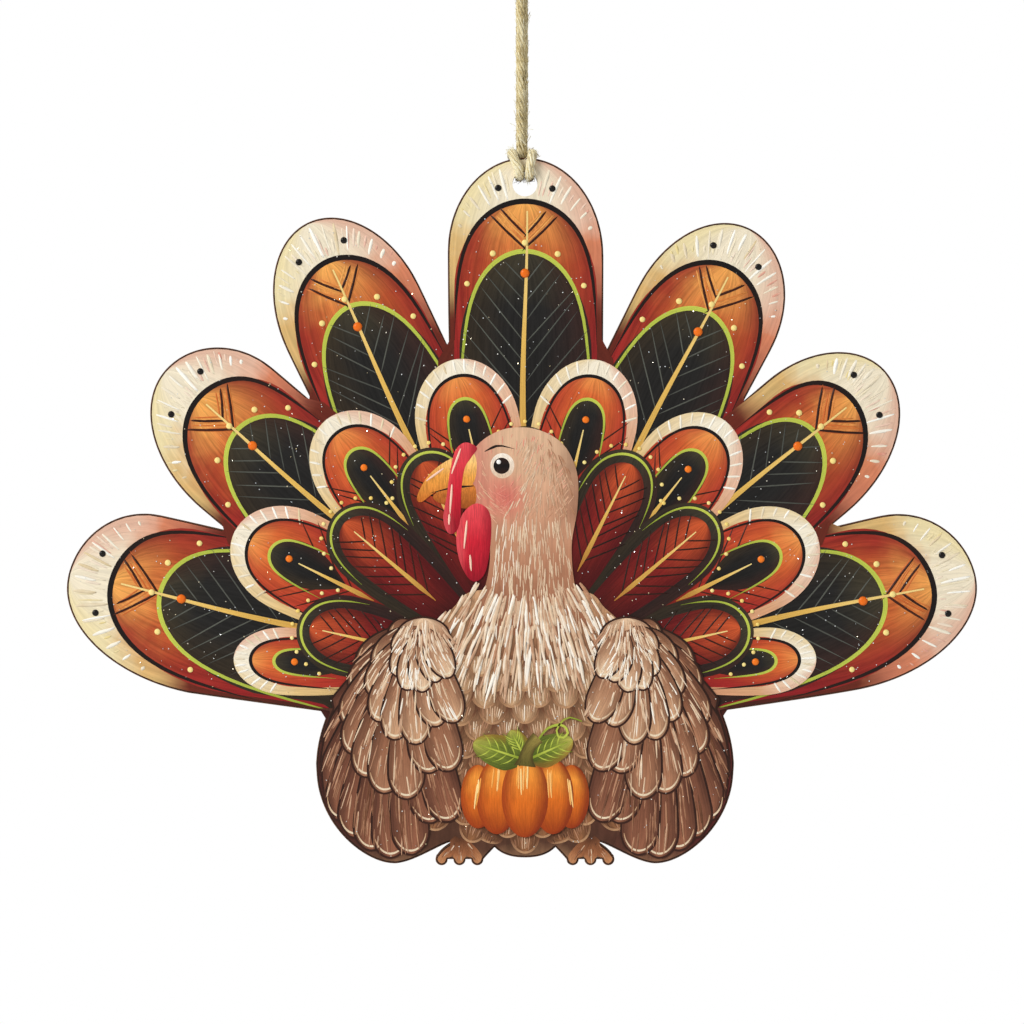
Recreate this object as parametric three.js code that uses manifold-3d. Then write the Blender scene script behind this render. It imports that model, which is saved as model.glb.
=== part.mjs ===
// A flat hanging turkey ornament: three glued wood plies cut to one outline, a printed coat
// on the front, and a loop of twine hitched through a hole in the crown feather.
// Millimetres, +Z up, the printed front faces -Y. The origin is the point inside the top
// of the loop, under its knot, where a hook or a twig bears.
import * as THREE from "three";
import { mergeVertices } from "three/addons/utils/BufferGeometryUtils.js";
import Module from "manifold-3d";

const wasm = await Module();
wasm.setup();

// Board: the thickness of each ply and of the printed coat
const FACE_PLY = 1.2;
const CORE_PLY = 2.6;
const BACK_PLY = 1.2;
const PRINT_COAT = 0.2;

// Tail: each feather's tip is two quarter ellipses, one a side, whose sides then draw in to
// its root in the fan's centre. angle is measured from upright, in degrees, clockwise from
// the front. half is how far a side stands from the feather's middle at the foot of its
// nose, nose how long that nose is, and shoulder how far the side stays full below it.
const FEATHER_ROOT = 9.6;
const CROWN = {
  angle: 0,
  length: 79.9,
  left: { half: 11.9, nose: 14.4, shoulder: 27 },
  right: { half: 12.1, nose: 15.2, shoulder: 55 },
};
const UPPER_LEFT = {
  angle: -25.6,
  length: 77.5,
  left: { half: 11.4, nose: 16.5, shoulder: 18 },
  right: { half: 11.3, nose: 16.1, shoulder: 40 },
};
const MIDDLE_LEFT = {
  angle: -49.8,
  length: 72.8,
  left: { half: 12.5, nose: 18.1, shoulder: 41 },
  right: { half: 11.1, nose: 12.3, shoulder: 44 },
};
const LOWER_LEFT = {
  angle: -77.7,
  length: 72.1,
  left: { half: 13.6, nose: 21.5, shoulder: 2 },
  right: { half: 12.2, nose: 11.8, shoulder: 26 },
};
const UPPER_RIGHT = {
  angle: 26.7,
  length: 77.2,
  left: { half: 11.4, nose: 15.9, shoulder: 28 },
  right: { half: 11.3, nose: 14.7, shoulder: 3 },
};
const MIDDLE_RIGHT = {
  angle: 49.9,
  length: 72.8,
  left: { half: 10.7, nose: 14.6, shoulder: 25 },
  right: { half: 12.7, nose: 18.5, shoulder: 50 },
};
const LOWER_RIGHT = {
  angle: 77.5,
  length: 71.2,
  left: { half: 12.2, nose: 12.2, shoulder: 19 },
  right: { half: 13.2, nose: 20.6, shoulder: 6 },
};
const FEATHERS = [
  LOWER_LEFT, MIDDLE_LEFT, UPPER_LEFT, CROWN, UPPER_RIGHT, MIDDLE_RIGHT, LOWER_RIGHT,
];

// Body: half widths, and heights from the fan's centre
const BODY_HALF_WIDTH = 32.2;
const BODY_WIDEST_Z = -13.9;
const WAIST_HALF_WIDTH = 30.1;
const WAIST_Z = -4.9;
const NECK_HALF_WIDTH = 20;
const NECK_Z = 10;
const WING_TIP_X = 20.2;
const WING_TIP_Z = -28.9;
const BELLY_HALF_WIDTH = 4.7;
const BELLY_SIDE_Z = -26.4;
const BELLY_Z = -28.0;
// How far each round of the body's outline swells between those points
const BELLY_ROUND = 2.2;
const FOOT_GAP_DIP = 0.2;
const WING_TIP_INNER = 3;
const WING_TIP_OUTER = 4.2;
const WING_SWELL = 9.4;
const WAIST_SWELL = 3.4;
const WAIST_TUCK_X = 1.1;
const WAIST_TUCK_Z = 2.6;
const SHOULDER_DRAW = 2.8;
const SHOULDER_RISE = 6;
const NECK_REACH = 4;

// Feet: three round toes side by side under a web that slopes up to the belly
const FOOT_X = 10.1;
const ANKLE_Z = -25.5;
const TOE_Z = -28.25;
const TOE_SPREAD = 2.75;
const TOE_RADIUS = 0.95;
const HEEL_HALF_WIDTH = 0.9;
const HEEL_SWELL_X = 0.4;
const HEEL_SWELL_Z = 1.4;

// Twine: one strand's diameter, the hang from the hook to the hole, and the clearances
const CORD = 1.4;
const CORD_GAP = 0.45;
const WOOD_GAP = 0.3;
const SWAY_ROOM = 0.15;
const END_GAP = 0.3;
const HANG_DROP = 48.4;
const TOP_BAR = 2.1;
const HOOK = 3.0;
const TAIL_LENGTH = 7;
const WRAP_TURNS = 2.2;

// How finely curves are stepped
const CURVE_STEPS = 9;
const FEATHER_STEPS = 6;
const TOE_STEPS = 6;
const HOLE_SIDES = 32;
const CORD_SIDES = 8;
const HITCH_STEP = 0.7;
const LEG_STEP = 2.8;

// Places worked out from the sizes above
const HALF_BOARD = (FACE_PLY + CORE_PLY + BACK_PLY) / 2;
const HOLE_RADIUS = CORD + CORD_GAP / 2 + WOOD_GAP;
const HOLE_Z = -HANG_DROP;
const TOP_Z = HOLE_Z + HOLE_RADIUS + TOP_BAR;
const FAN_Z = TOP_Z - CROWN.length;
const STRAND = CORD + CORD_GAP;

const wood = (color) => new THREE.MeshStandardMaterial({ color, roughness: 0.75, metalness: 0 });
const FACE_WOOD = wood(0xc9a473);
const CORE_WOOD = wood(0xa97f50);
const PRINT = new THREE.MeshStandardMaterial({ color: 0x8a4a2c, roughness: 0.45, metalness: 0 });
const TWINE = new THREE.MeshStandardMaterial({ color: 0xc2aa78, roughness: 0.9, metalness: 0 });

// A geometry's closed surface as a solid that can be joined and cut
function solid(geometry) {
  const bare = new THREE.BufferGeometry();
  bare.setAttribute("position", geometry.getAttribute("position"));
  if (geometry.index) bare.setIndex(geometry.index);
  const merged = mergeVertices(bare);
  return new wasm.Manifold(
    new wasm.Mesh({
      numProp: 3,
      vertProperties: merged.attributes.position.array,
      triVerts: new Uint32Array(merged.index.array),
    }),
  );
}

function geometryOf(made) {
  const mesh = made.getMesh();
  const geometry = new THREE.BufferGeometry();
  geometry.setAttribute("position", new THREE.BufferAttribute(mesh.vertProperties, 3));
  geometry.setIndex(new THREE.BufferAttribute(mesh.triVerts, 1));
  return geometry;
}

const joined = (solids) => solids.reduce((all, next) => all.add(next));

// An outline in the board's plane as a slab one unit thick, from y = -1 to y = 0
function slab(shape, curveSegments = CURVE_STEPS) {
  const options = { depth: 1, bevelEnabled: false, curveSegments };
  return new THREE.ExtrudeGeometry(shape, options).rotateX(Math.PI / 2);
}

// One tail feather, drawn pointing up and then turned about the fan's centre
function featherSlab({ angle, length, left, right }) {
  const leftFoot = length - left.nose;
  const rightFoot = length - right.nose;
  const shape = new THREE.Shape();
  shape.moveTo(-FEATHER_ROOT, 0);
  shape.lineTo(FEATHER_ROOT, 0);
  shape.quadraticCurveTo(right.half, rightFoot - right.shoulder, right.half, rightFoot);
  shape.absellipse(0, rightFoot, right.half, right.nose, 0, Math.PI / 2);
  shape.absellipse(0, leftFoot, left.half, left.nose, Math.PI / 2, Math.PI);
  shape.quadraticCurveTo(-left.half, leftFoot - left.shoulder, -FEATHER_ROOT, 0);
  return slab(shape, FEATHER_STEPS).rotateY(THREE.MathUtils.degToRad(angle));
}

// Belly, folded wings and waist: the right half's curves, then the same ones mirrored back.
// Each curve is two control points and its end.
function bodySlab() {
  const start = [0, BELLY_Z];
  const bellySide = [BELLY_HALF_WIDTH, BELLY_SIDE_Z];
  const footGap = [FOOT_X + HEEL_HALF_WIDTH, ANKLE_Z];
  const halfCurves = [
    [[BELLY_ROUND, BELLY_Z], [BELLY_HALF_WIDTH - BELLY_ROUND / 2, BELLY_SIDE_Z - BELLY_ROUND / 2],
      bellySide],
    [bellySide, footGap, footGap],
    [[FOOT_X + TOE_SPREAD, ANKLE_Z - FOOT_GAP_DIP], [WING_TIP_X - WING_TIP_INNER, WING_TIP_Z],
      [WING_TIP_X, WING_TIP_Z]],
    [[WING_TIP_X + WING_TIP_OUTER, WING_TIP_Z], [BODY_HALF_WIDTH, BODY_WIDEST_Z - WING_SWELL],
      [BODY_HALF_WIDTH, BODY_WIDEST_Z]],
    [[BODY_HALF_WIDTH, BODY_WIDEST_Z + WAIST_SWELL],
      [WAIST_HALF_WIDTH + WAIST_TUCK_X, WAIST_Z - WAIST_TUCK_Z], [WAIST_HALF_WIDTH, WAIST_Z]],
    [[WAIST_HALF_WIDTH - SHOULDER_DRAW, WAIST_Z + SHOULDER_RISE],
      [NECK_HALF_WIDTH + NECK_REACH, NECK_Z], [NECK_HALF_WIDTH, NECK_Z]],
  ];
  const shape = new THREE.Shape();
  shape.moveTo(...start);
  for (const [a, b, end] of halfCurves) shape.bezierCurveTo(...a, ...b, ...end);
  shape.lineTo(-NECK_HALF_WIDTH, NECK_Z);
  for (let i = halfCurves.length - 1; i >= 0; i--) {
    const [a, b] = halfCurves[i];
    const end = i > 0 ? halfCurves[i - 1][2] : start;
    shape.bezierCurveTo(-b[0], b[1], -a[0], a[1], -end[0], end[1]);
  }
  return slab(shape);
}

// One foot: a web from the heel and the belly's side down to the toes, and their three ends.
// side is -1 for the left foot and 1 for the right.
function footSlabs(side) {
  const outerToe = FOOT_X + TOE_SPREAD + TOE_RADIUS;
  const innerToe = FOOT_X - TOE_SPREAD - TOE_RADIUS;
  const heel = FOOT_X + HEEL_HALF_WIDTH;
  const web = new THREE.Shape();
  web.moveTo(side * BELLY_HALF_WIDTH, ANKLE_Z);
  web.lineTo(side * BELLY_HALF_WIDTH, BELLY_SIDE_Z);
  web.lineTo(side * innerToe, TOE_Z);
  web.lineTo(side * outerToe, TOE_Z);
  web.quadraticCurveTo(side * (outerToe - HEEL_SWELL_X), TOE_Z + HEEL_SWELL_Z, side * heel, ANKLE_Z);
  const toes = [-1, 0, 1].map((place) => {
    const toe = new THREE.Shape();
    toe.absarc(side * FOOT_X + place * TOE_SPREAD, TOE_Z, TOE_RADIUS, 0, 2 * Math.PI);
    return slab(toe, TOE_STEPS);
  });
  return [slab(web), ...toes];
}

// The whole outline as one slab a unit thick, with the hole for the twine through it
function boardOutline() {
  const pieces = [...FEATHERS.map(featherSlab), bodySlab(), ...footSlabs(1), ...footSlabs(-1)];
  const hole = new THREE.CylinderGeometry(HOLE_RADIUS, HOLE_RADIUS, 4, HOLE_SIDES);
  hole.translate(0, 0, HOLE_Z - FAN_Z);
  return geometryOf(joined(pieces.map(solid)).subtract(solid(hole)));
}

// A round cord along a curve, with steps of about the length asked for
function cordGeometry(curve, step) {
  const corners = Array.from({ length: CORD_SIDES }, (_, i) => {
    const turn = (2 * Math.PI * i) / CORD_SIDES;
    return new THREE.Vector2((CORD / 2) * Math.cos(turn), (CORD / 2) * Math.sin(turn));
  });
  return new THREE.ExtrudeGeometry(new THREE.Shape(corners), {
    extrudePath: curve,
    steps: Math.ceil(curve.getLength() / step),
    bevelEnabled: false,
  });
}

const smooth = (points) =>
  new THREE.CatmullRomCurve3(points.map((p) => new THREE.Vector3(...p)), false, "centripetal");

// The twine's lark's head. Both legs come down behind the board and turn forward through
// the hole side by side. They rise as a V on the front, run back over the top edge, and
// meet in a bight behind the legs. Leg B lies behind leg A above the hole.
const FRONT_Y = -(HALF_BOARD + PRINT_COAT + WOOD_GAP + CORD / 2);
const BACK_Y = HALF_BOARD + WOOD_GAP + CORD / 2;
const RUN_Z = TOP_Z + WOOD_GAP + SWAY_ROOM + CORD / 2;
const CUT_Z = RUN_Z + 2.5 * CORD;
const LEG_B_Y = BACK_Y + STRAND;
const BIGHT_Y = LEG_B_Y + STRAND;
const SIDE_X = STRAND / 2;
const LEG_X = 0.2;
const RUN_X = LEG_X + STRAND;

const hitchFront = (side) => [
  [side * SIDE_X, 0, HOLE_Z],
  [side * SIDE_X, FRONT_Y + 1.3, HOLE_Z],
  [side * SIDE_X, FRONT_Y + 0.3, HOLE_Z + 0.5],
  [side * SIDE_X, FRONT_Y, HOLE_Z + 1.5],
  [side * (SIDE_X + 0.35), FRONT_Y, TOP_Z - 0.7],
  [side * (SIDE_X + 0.65), FRONT_Y + 0.1, TOP_Z + 0.35],
  [side * (SIDE_X + 0.8), FRONT_Y + 0.75, RUN_Z - 0.1],
  [side * (SIDE_X + 0.9), FRONT_Y + 2, RUN_Z],
  [side * RUN_X, HALF_BOARD, RUN_Z],
  [side * RUN_X, LEG_B_Y, RUN_Z],
  [side * (RUN_X - 0.5), BIGHT_Y - 0.35, RUN_Z - 0.1],
];
const hitchBackA = [
  [-LEG_X, BACK_Y, CUT_Z - END_GAP / 2],
  [-LEG_X, BACK_Y, TOP_Z + 0.4],
  [-0.45, BACK_Y, TOP_Z - 1],
  [-SIDE_X + 0.05, BACK_Y, HOLE_Z + 1.7],
  [-SIDE_X, BACK_Y - 0.3, HOLE_Z + 0.5],
  [-SIDE_X, BACK_Y - 1.3, HOLE_Z],
];
const hitchBackB = [
  [LEG_X, LEG_B_Y, CUT_Z - END_GAP / 2],
  [LEG_X, LEG_B_Y, TOP_Z + 0.4],
  [0.45, LEG_B_Y, TOP_Z - 0.6],
  [SIDE_X, LEG_B_Y - 0.75, HOLE_Z + 2],
  [SIDE_X, BACK_Y - 0.1, HOLE_Z + 0.75],
  [SIDE_X, BACK_Y - 1.3, HOLE_Z],
];
const hitchCurve = smooth([
  ...hitchBackA,
  ...hitchFront(-1),
  [0, BIGHT_Y, RUN_Z - 0.15],
  ...hitchFront(1).reverse(),
  ...hitchBackB.reverse(),
]);

// The least gap between one stretch of a cord and another stretch of it
function leastGap(curve, apart) {
  const count = Math.ceil(curve.getLength() / 0.2);
  const points = curve.getSpacedPoints(count);
  const skip = Math.ceil((apart * count) / curve.getLength());
  let least = Infinity;
  for (let i = 0; i < count; i++)
    for (let j = i + skip; j <= count; j++) least = Math.min(least, points[i].distanceTo(points[j]));
  return least - CORD;
}
console.log("hitch, least gap to itself: " + leastGap(hitchCurve, 4 * CORD).toFixed(2) + " mm");

// The loop's two legs lean forward from the hitch to the hook, and open round it. side is
// -1 for leg A in front, and 1 for leg B behind it.
const MID_CUT_Y = (BACK_Y + LEG_B_Y) / 2;
const OPEN_Y = HOOK / 2 + CORD / 2;
const KNOT_Z = 2.4;
const legCurve = (side) => {
  const lean = (share) => MID_CUT_Y * share;
  const at = (share, offset) => [side * LEG_X, lean(share) + side * offset, CUT_Z * share];
  return smooth([
    [side * LEG_X, lean(1) + (side * STRAND) / 2, CUT_Z + END_GAP / 2],
    at(0.9, STRAND / 2),
    at(0.75, STRAND / 2),
    at(0.6, STRAND / 2),
    at(0.45, STRAND / 2),
    at(0.3, STRAND / 2),
    at(0.19, 0.55 * STRAND),
    at(0.1, 0.85 * OPEN_Y),
    at(0.045, OPEN_Y),
    at(0, 0.9 * OPEN_Y),
    [side * LEG_X, (side * STRAND) / 2, KNOT_Z - 0.8],
    [side * LEG_X, (side * STRAND) / 2, KNOT_Z],
  ]);
};

// The knot pulled tight: both legs run up through it and end in two tails, and the turns
// of the knot lie round them.
const WRAP_PITCH = CORD;
const WRAP_Z = KNOT_Z + END_GAP + CORD;
const WRAP_TOP_Z = WRAP_Z + WRAP_TURNS * WRAP_PITCH;
function knotSolid() {
  const tails = [-1, 1].map((side) =>
    smooth([
      [side * LEG_X, (side * STRAND) / 2, KNOT_Z + END_GAP],
      [side * LEG_X, (side * STRAND) / 2, WRAP_Z],
      [side * LEG_X, (side * STRAND) / 2, WRAP_TOP_Z],
      [side * 1.2, side * STRAND, WRAP_TOP_Z + TAIL_LENGTH / 2],
      [side * 1.9, side * 1.5 * STRAND, WRAP_TOP_Z + TAIL_LENGTH],
    ]),
  );
  const stations = Math.ceil(WRAP_TURNS * 10);
  const wrap = Array.from({ length: stations + 1 }, (_, i) => {
    const turn = (2 * Math.PI * WRAP_TURNS * i) / stations;
    const rise = (WRAP_TURNS * WRAP_PITCH * i) / stations;
    return [0.95 * CORD * Math.cos(turn), (STRAND / 2 + 0.85 * CORD) * Math.sin(turn), WRAP_Z + rise];
  });
  const cords = [...tails, smooth(wrap)].map((curve) => solid(cordGeometry(curve, HITCH_STEP)));
  return geometryOf(joined(cords));
}

const ornament = new THREE.Group();
const addPiece = (name, geometry, material, parent = ornament) => {
  const mesh = new THREE.Mesh(geometry, material);
  mesh.name = name;
  parent.add(mesh);
};

// The board's layers share one outline, each as thick as its ply, from the front to the back
const board = new THREE.Group();
board.position.z = FAN_Z;
ornament.add(board);
const outline = boardOutline();
const layers = [
  ["front_print", PRINT_COAT, PRINT],
  ["face_veneer", FACE_PLY, FACE_WOOD],
  ["core_ply", CORE_PLY, CORE_WOOD],
  ["back_veneer", BACK_PLY, FACE_WOOD],
];
let back = -HALF_BOARD - PRINT_COAT;
for (const [name, thickness, material] of layers) {
  back += thickness;
  addPiece(name, outline.clone().scale(1, thickness, 1).translate(0, back, 0), material, board);
}

addPiece("cord_hitch", cordGeometry(hitchCurve, HITCH_STEP), TWINE);
addPiece("cord_leg_front", cordGeometry(legCurve(-1), LEG_STEP), TWINE);
addPiece("cord_leg_back", cordGeometry(legCurve(1), LEG_STEP), TWINE);
addPiece("cord_knot", knotSolid(), TWINE);

export default ornament;
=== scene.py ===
# %% [markdown]
# # A painted wooden turkey on a loop of twine
# The part is a flat ornament. Its CAD frame has three wood plies cut to one outline, a
# coat on the front, and one length of twine hitched through a hole. This lesson dresses
# that frame: twisted strands for the cords, finer wood for the plies, and paint laid on in
# thin layers, mark by mark, the way a brush would put it there.

# %% Load the frame
import functools
import math

import bmesh
import bpy
import numpy as np
from mathutils import Matrix, Vector
from mathutils.geometry import tessellate_polygon


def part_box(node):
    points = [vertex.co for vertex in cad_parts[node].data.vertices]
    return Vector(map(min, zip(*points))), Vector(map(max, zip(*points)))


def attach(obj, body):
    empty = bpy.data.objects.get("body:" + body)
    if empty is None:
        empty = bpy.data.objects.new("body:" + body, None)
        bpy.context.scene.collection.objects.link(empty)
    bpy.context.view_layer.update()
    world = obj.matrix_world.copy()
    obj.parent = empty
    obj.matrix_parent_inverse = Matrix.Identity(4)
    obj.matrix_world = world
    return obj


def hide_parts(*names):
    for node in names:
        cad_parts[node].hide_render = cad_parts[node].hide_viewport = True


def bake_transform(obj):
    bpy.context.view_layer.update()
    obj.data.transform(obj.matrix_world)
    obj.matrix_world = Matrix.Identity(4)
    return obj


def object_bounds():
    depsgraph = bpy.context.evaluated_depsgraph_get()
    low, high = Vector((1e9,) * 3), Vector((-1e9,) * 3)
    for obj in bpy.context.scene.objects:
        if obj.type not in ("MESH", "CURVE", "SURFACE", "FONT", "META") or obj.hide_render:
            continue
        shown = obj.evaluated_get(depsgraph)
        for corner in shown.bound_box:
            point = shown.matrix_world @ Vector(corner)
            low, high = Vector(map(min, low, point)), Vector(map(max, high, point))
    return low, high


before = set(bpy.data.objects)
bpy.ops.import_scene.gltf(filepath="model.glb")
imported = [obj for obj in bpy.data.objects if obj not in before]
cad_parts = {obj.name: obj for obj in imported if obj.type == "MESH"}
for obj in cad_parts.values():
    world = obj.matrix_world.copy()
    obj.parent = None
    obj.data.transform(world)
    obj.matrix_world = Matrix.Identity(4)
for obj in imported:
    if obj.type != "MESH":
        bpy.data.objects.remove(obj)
cad_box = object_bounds()
MM = 0.001

# %% [markdown]
# The camera stands in front of the board and looks along +Y. A lens could be short and
# close or long and far; a long one is chosen, because the photograph shows no perspective.
# The view is 157.9 mm wide in the plane of the painted face.

# %% Camera
VIEW_WIDTH = 157.9 * MM
VIEW_X = -2.0 * MM
VIEW_Z = -99.0 * MM
CAMERA_BACK = 1.6
FACE_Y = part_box("front_print")[0].y
SENSOR = 36.0

camera_data = bpy.data.cameras.new("camera")
camera_data.sensor_width = SENSOR
camera_data.lens = SENSOR * (CAMERA_BACK + FACE_Y) / VIEW_WIDTH
camera = bpy.data.objects.new("camera", camera_data)
camera.location = (VIEW_X, -CAMERA_BACK, VIEW_Z)
camera.rotation_euler = (math.radians(90), 0, 0)
bpy.context.scene.collection.objects.link(camera)
bpy.context.scene.camera = camera
bpy.context.scene.view_settings.view_transform = "Standard"
print("camera lens", round(camera_data.lens), "mm")

# %% [markdown]
# The light is soft and comes mostly from the left, which rounds the twine as in the
# photograph. Area lamps are used, because a large lamp gives soft shadows where a spot would
# give hard ones. The world is white to the camera only, and dim to the ornament, so it stands
# on white without being washed out.

# %% Lamps
MIDDLE = Vector((0, 0, -0.1))
# Each lamp has a place, a width in metres and a power in watts
LAMPS = {
    "key": ((-0.9, -0.8, 0.5), 0.5, 13.4),
    "fill": ((0.7, -0.9, 0.15), 0.7, 0.9),
    "rim": ((0.3, 0.8, 0.6), 0.5, 6.5),
}

for name, (place, width, power) in LAMPS.items():
    data = bpy.data.lights.new(name, "AREA")
    data.size = width
    data.energy = power
    lamp = bpy.data.objects.new(name, data)
    lamp.location = place
    lamp.rotation_euler = (MIDDLE - Vector(place)).to_track_quat("-Z", "Y").to_euler()
    bpy.context.scene.collection.objects.link(lamp)
print("lamps", list(LAMPS))

# %% White round the ornament
SKY_LIGHT = 0.31
SKY_TINT = (1.0, 0.985, 0.96, 1)
WHITE = (1, 1, 1, 1)

world = bpy.data.worlds.new("studio")
world.use_nodes = True
bpy.context.scene.world = world
nodes, links = world.node_tree.nodes, world.node_tree.links
sky, white = nodes["Background"], nodes.new("ShaderNodeBackground")
for shade, colour, strength in ((sky, SKY_TINT, SKY_LIGHT), (white, WHITE, 1.0)):
    shade.inputs["Color"].default_value = colour
    shade.inputs["Strength"].default_value = strength
seen = nodes.new("ShaderNodeLightPath").outputs["Is Camera Ray"]
mix = nodes.new("ShaderNodeMixShader")
for socket, source in zip(mix.inputs, (seen, sky.outputs[0], white.outputs[0])):
    links.new(source, socket)
links.new(mix.outputs[0], nodes["World Output"].inputs[0])
print("world:", len(nodes), "nodes")

# %% [markdown]
# Every finish is a small tree of shader nodes, worked out from the place on the piece. An
# image could hold the same paint, but nodes stay sharp at any distance and need no file.
# These classes keep the trees short to write. A socket takes a number, another socket or a
# whole node, so a mask can be written as arithmetic.

# %% Wiring nodes
class Wires:
    """Short calls for the nodes of one tree."""

    def node(self, kind, *sources, **values):
        """A node. Sources go to its first sockets. A key in small letters is one of its settings."""
        made = self.nodes.new(kind if "Node" in kind else self.family + kind)
        for key, value in values.items():
            if key.islower():
                setattr(made, key, value)
        for socket, source in zip(made.inputs, sources):
            self.put(socket, source)
        for key, value in values.items():
            if not key.islower():
                name = key.replace("_", " ")
                self.put(next(s for s in made.inputs if s.name == name and s.enabled), value)
        return made

    def put(self, socket, value):
        """Gives a socket a value, another socket, or a node's first output."""
        if isinstance(value, bpy.types.Node):
            value = next(s for s in value.outputs if s.enabled)
        if isinstance(value, bpy.types.NodeSocket):
            self.links.new(value, socket)
        else:
            socket.default_value = value

    def math(self, operation, *values):
        return self.node("ShaderNodeMath", *values, operation=operation)

    def plus(self, a, b):
        return self.math("ADD", a, b)

    def minus(self, a, b):
        return self.math("SUBTRACT", a, b)

    def times(self, a, b):
        return self.math("MULTIPLY", a, b)


print("wires:", [name for name in vars(Wires) if not name.startswith("_")])

# %% Materials
def rgb(colour):
    """A screen colour, 0 to 255, as a linear colour with full alpha."""
    linear = [((c / 255 + 0.055) / 1.055) ** 2.4 if c > 10 else c / 255 / 12.92 for c in colour]
    return (*linear, 1.0)


class Mat(Wires):
    """A material and the nodes that paint it."""

    family = "ShaderNode"

    def __init__(self, name, rough, specular):
        self.material = bpy.data.materials.new(name)
        self.material.use_nodes = True
        self.nodes, self.links = self.material.node_tree.nodes, self.material.node_tree.links
        self.shader = self.nodes["Principled BSDF"].inputs
        self.shader["Roughness"].default_value = rough
        self.shader["Specular IOR Level"].default_value = specular

    def span(self, value, low, high, out_low=0.0, out_high=1.0):
        """value from low..high to out_low..out_high, with a soft start and end."""
        return self.node("MapRange", value, low, high, out_low, out_high, interpolation_type="SMOOTHSTEP")

    def ramp(self, value, stops):
        made = self.node("ValToRGB", value)
        elements = made.color_ramp.elements
        while len(elements) < len(stops):
            elements.new(0.5)
        for element, (place, colour) in zip(elements, stops):
            element.position = place
            element.color = rgb(colour)
        return made

    def mix(self, share, a, b, blend="MIX"):
        made = self.node("Mix", share, data_type="RGBA", blend_type=blend)
        for socket, colour in zip(made.inputs[6:8], (a, b)):
            self.put(socket, rgb(colour) if isinstance(colour, tuple) else colour)
        return made.outputs[2]

    def noise(self, place, scale, detail=3.0, rough=0.55, distortion=0.0):
        return self.node(
            "TexNoise", Vector=place, Scale=scale, Detail=detail, Roughness=rough, Distortion=distortion
        )

    def place(self):
        return self.node("TexCoord").outputs["Object"]

    def stretch(self, place, scale):
        return self.node("Mapping", place, Scale=scale)

    def attribute(self, name):
        return self.node("Attribute", attribute_name=name).outputs["Fac"]

    def colour(self, value):
        self.put(self.shader["Base Color"], value)

    def bump(self, height, strength, distance):
        made = self.node("Bump", Strength=strength, Distance=distance, Height=height)
        self.put(self.shader["Normal"], made)


print("white paint is", rgb((255, 255, 255)))

# %% [markdown]
# A pale floor lies under the hanging ornament, out of the picture. It is one flat face, and
# belongs to the stage and not to the part.

# %% Floor
FLOOR_Z = cad_box[0].z - 0.03
FLOOR_HALF = 0.5
FLOOR_BACK = 0.08


def add_object(name, mesh, material=None):
    """A mesh as an object at the origin."""
    if material is not None:
        mesh.materials.append(material)
    made = bpy.data.objects.new(name, mesh)
    bpy.context.scene.collection.objects.link(made)
    return made


floor_mesh = bpy.data.meshes.new("floor")
floor_corners = ((-1, -FLOOR_HALF), (1, -FLOOR_HALF), (1, FLOOR_BACK), (-1, FLOOR_BACK))
floor_mesh.from_pydata([(side * FLOOR_HALF, y, FLOOR_Z) for side, y in floor_corners], [], [(0, 1, 2, 3)])
floor_paint = Mat("floor_paint", rough=0.8, specular=0.5)
floor_paint.colour((0.9, 0.9, 0.89, 1))
add_object("floor", floor_mesh, floor_paint.material)
print("floor at", round(FLOOR_Z, 3), "m")

# %% [markdown]
# Twine, brush marks, dots and glitter all repeat one small form, so Geometry Nodes make them.
# Copying meshes in a loop would do, but a tree keeps its sizes as named inputs and its random
# part under one seed. Its result is kept as a plain mesh, and the object that carried the
# modifier is removed.

# %% Building a Geometry Nodes tree
class Tree(Wires):
    """A Geometry Nodes group with named inputs and a material."""

    family = "GeometryNode"

    def __init__(self, name, **inputs):
        self.group = bpy.data.node_groups.new(name, "GeometryNodeTree")
        self.nodes, self.links = self.group.nodes, self.group.links
        self.socket("Geometry", "Geometry")
        for label, value in inputs.items():
            kind = "Int" if isinstance(value, int) else "Float"
            self.socket(label.replace("_", " "), kind).default_value = value
        self.socket("Material", "Material")
        self.socket("Geometry", "Geometry", "OUTPUT")
        self.inputs = self.nodes.new("NodeGroupInput").outputs

    def socket(self, label, kind, way="INPUT"):
        return self.group.interface.new_socket(label, in_out=way, socket_type="NodeSocket" + kind)

    def vector(self, operation, *values, **more):
        return self.node("ShaderNodeVectorMath", *values, operation=operation, **more)

    def random(self, low, high, **more):
        kind = "FLOAT_VECTOR" if isinstance(low, tuple) else "FLOAT"
        seed = self.inputs["Seed"]
        return self.node("FunctionNodeRandomValue", data_type=kind, Min=low, Max=high, Seed=seed, **more)

    def named(self, name, kind="FLOAT"):
        return self.node("InputNamedAttribute", data_type=kind, Name=name)

    def stored(self, geometry, name, value, kind="FLOAT"):
        return self.node("StoreNamedAttribute", geometry, data_type=kind, Name=name, Value=value)

    def tube(self, line, ring, **more):
        return self.node("CurveToMesh", Curve=line, Profile_Curve=ring, Fill_Caps=True, **more)

    def copies(self, points, shape, turn, size):
        """A real copy of a shape at every point, turned and sized."""
        made = self.node("InstanceOnPoints", Points=points, Instance=shape, Rotation=turn, Scale=size)
        return self.node("RealizeInstances", made)

    def finish(self, geometry):
        done = self.node("SetMaterial", geometry, Material=self.inputs["Material"])
        self.put(self.nodes.new("NodeGroupOutput").inputs[0], done)
        return self.group


print("tree calls:", [name for name in vars(Tree) if not name.startswith("_")])

# %% Running a tree
def result(carrier):
    """What an object's modifiers make of it, as a new mesh."""
    graph = bpy.context.evaluated_depsgraph_get()
    return bpy.data.meshes.new_from_object(carrier.evaluated_get(graph), depsgraph=graph)


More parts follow.
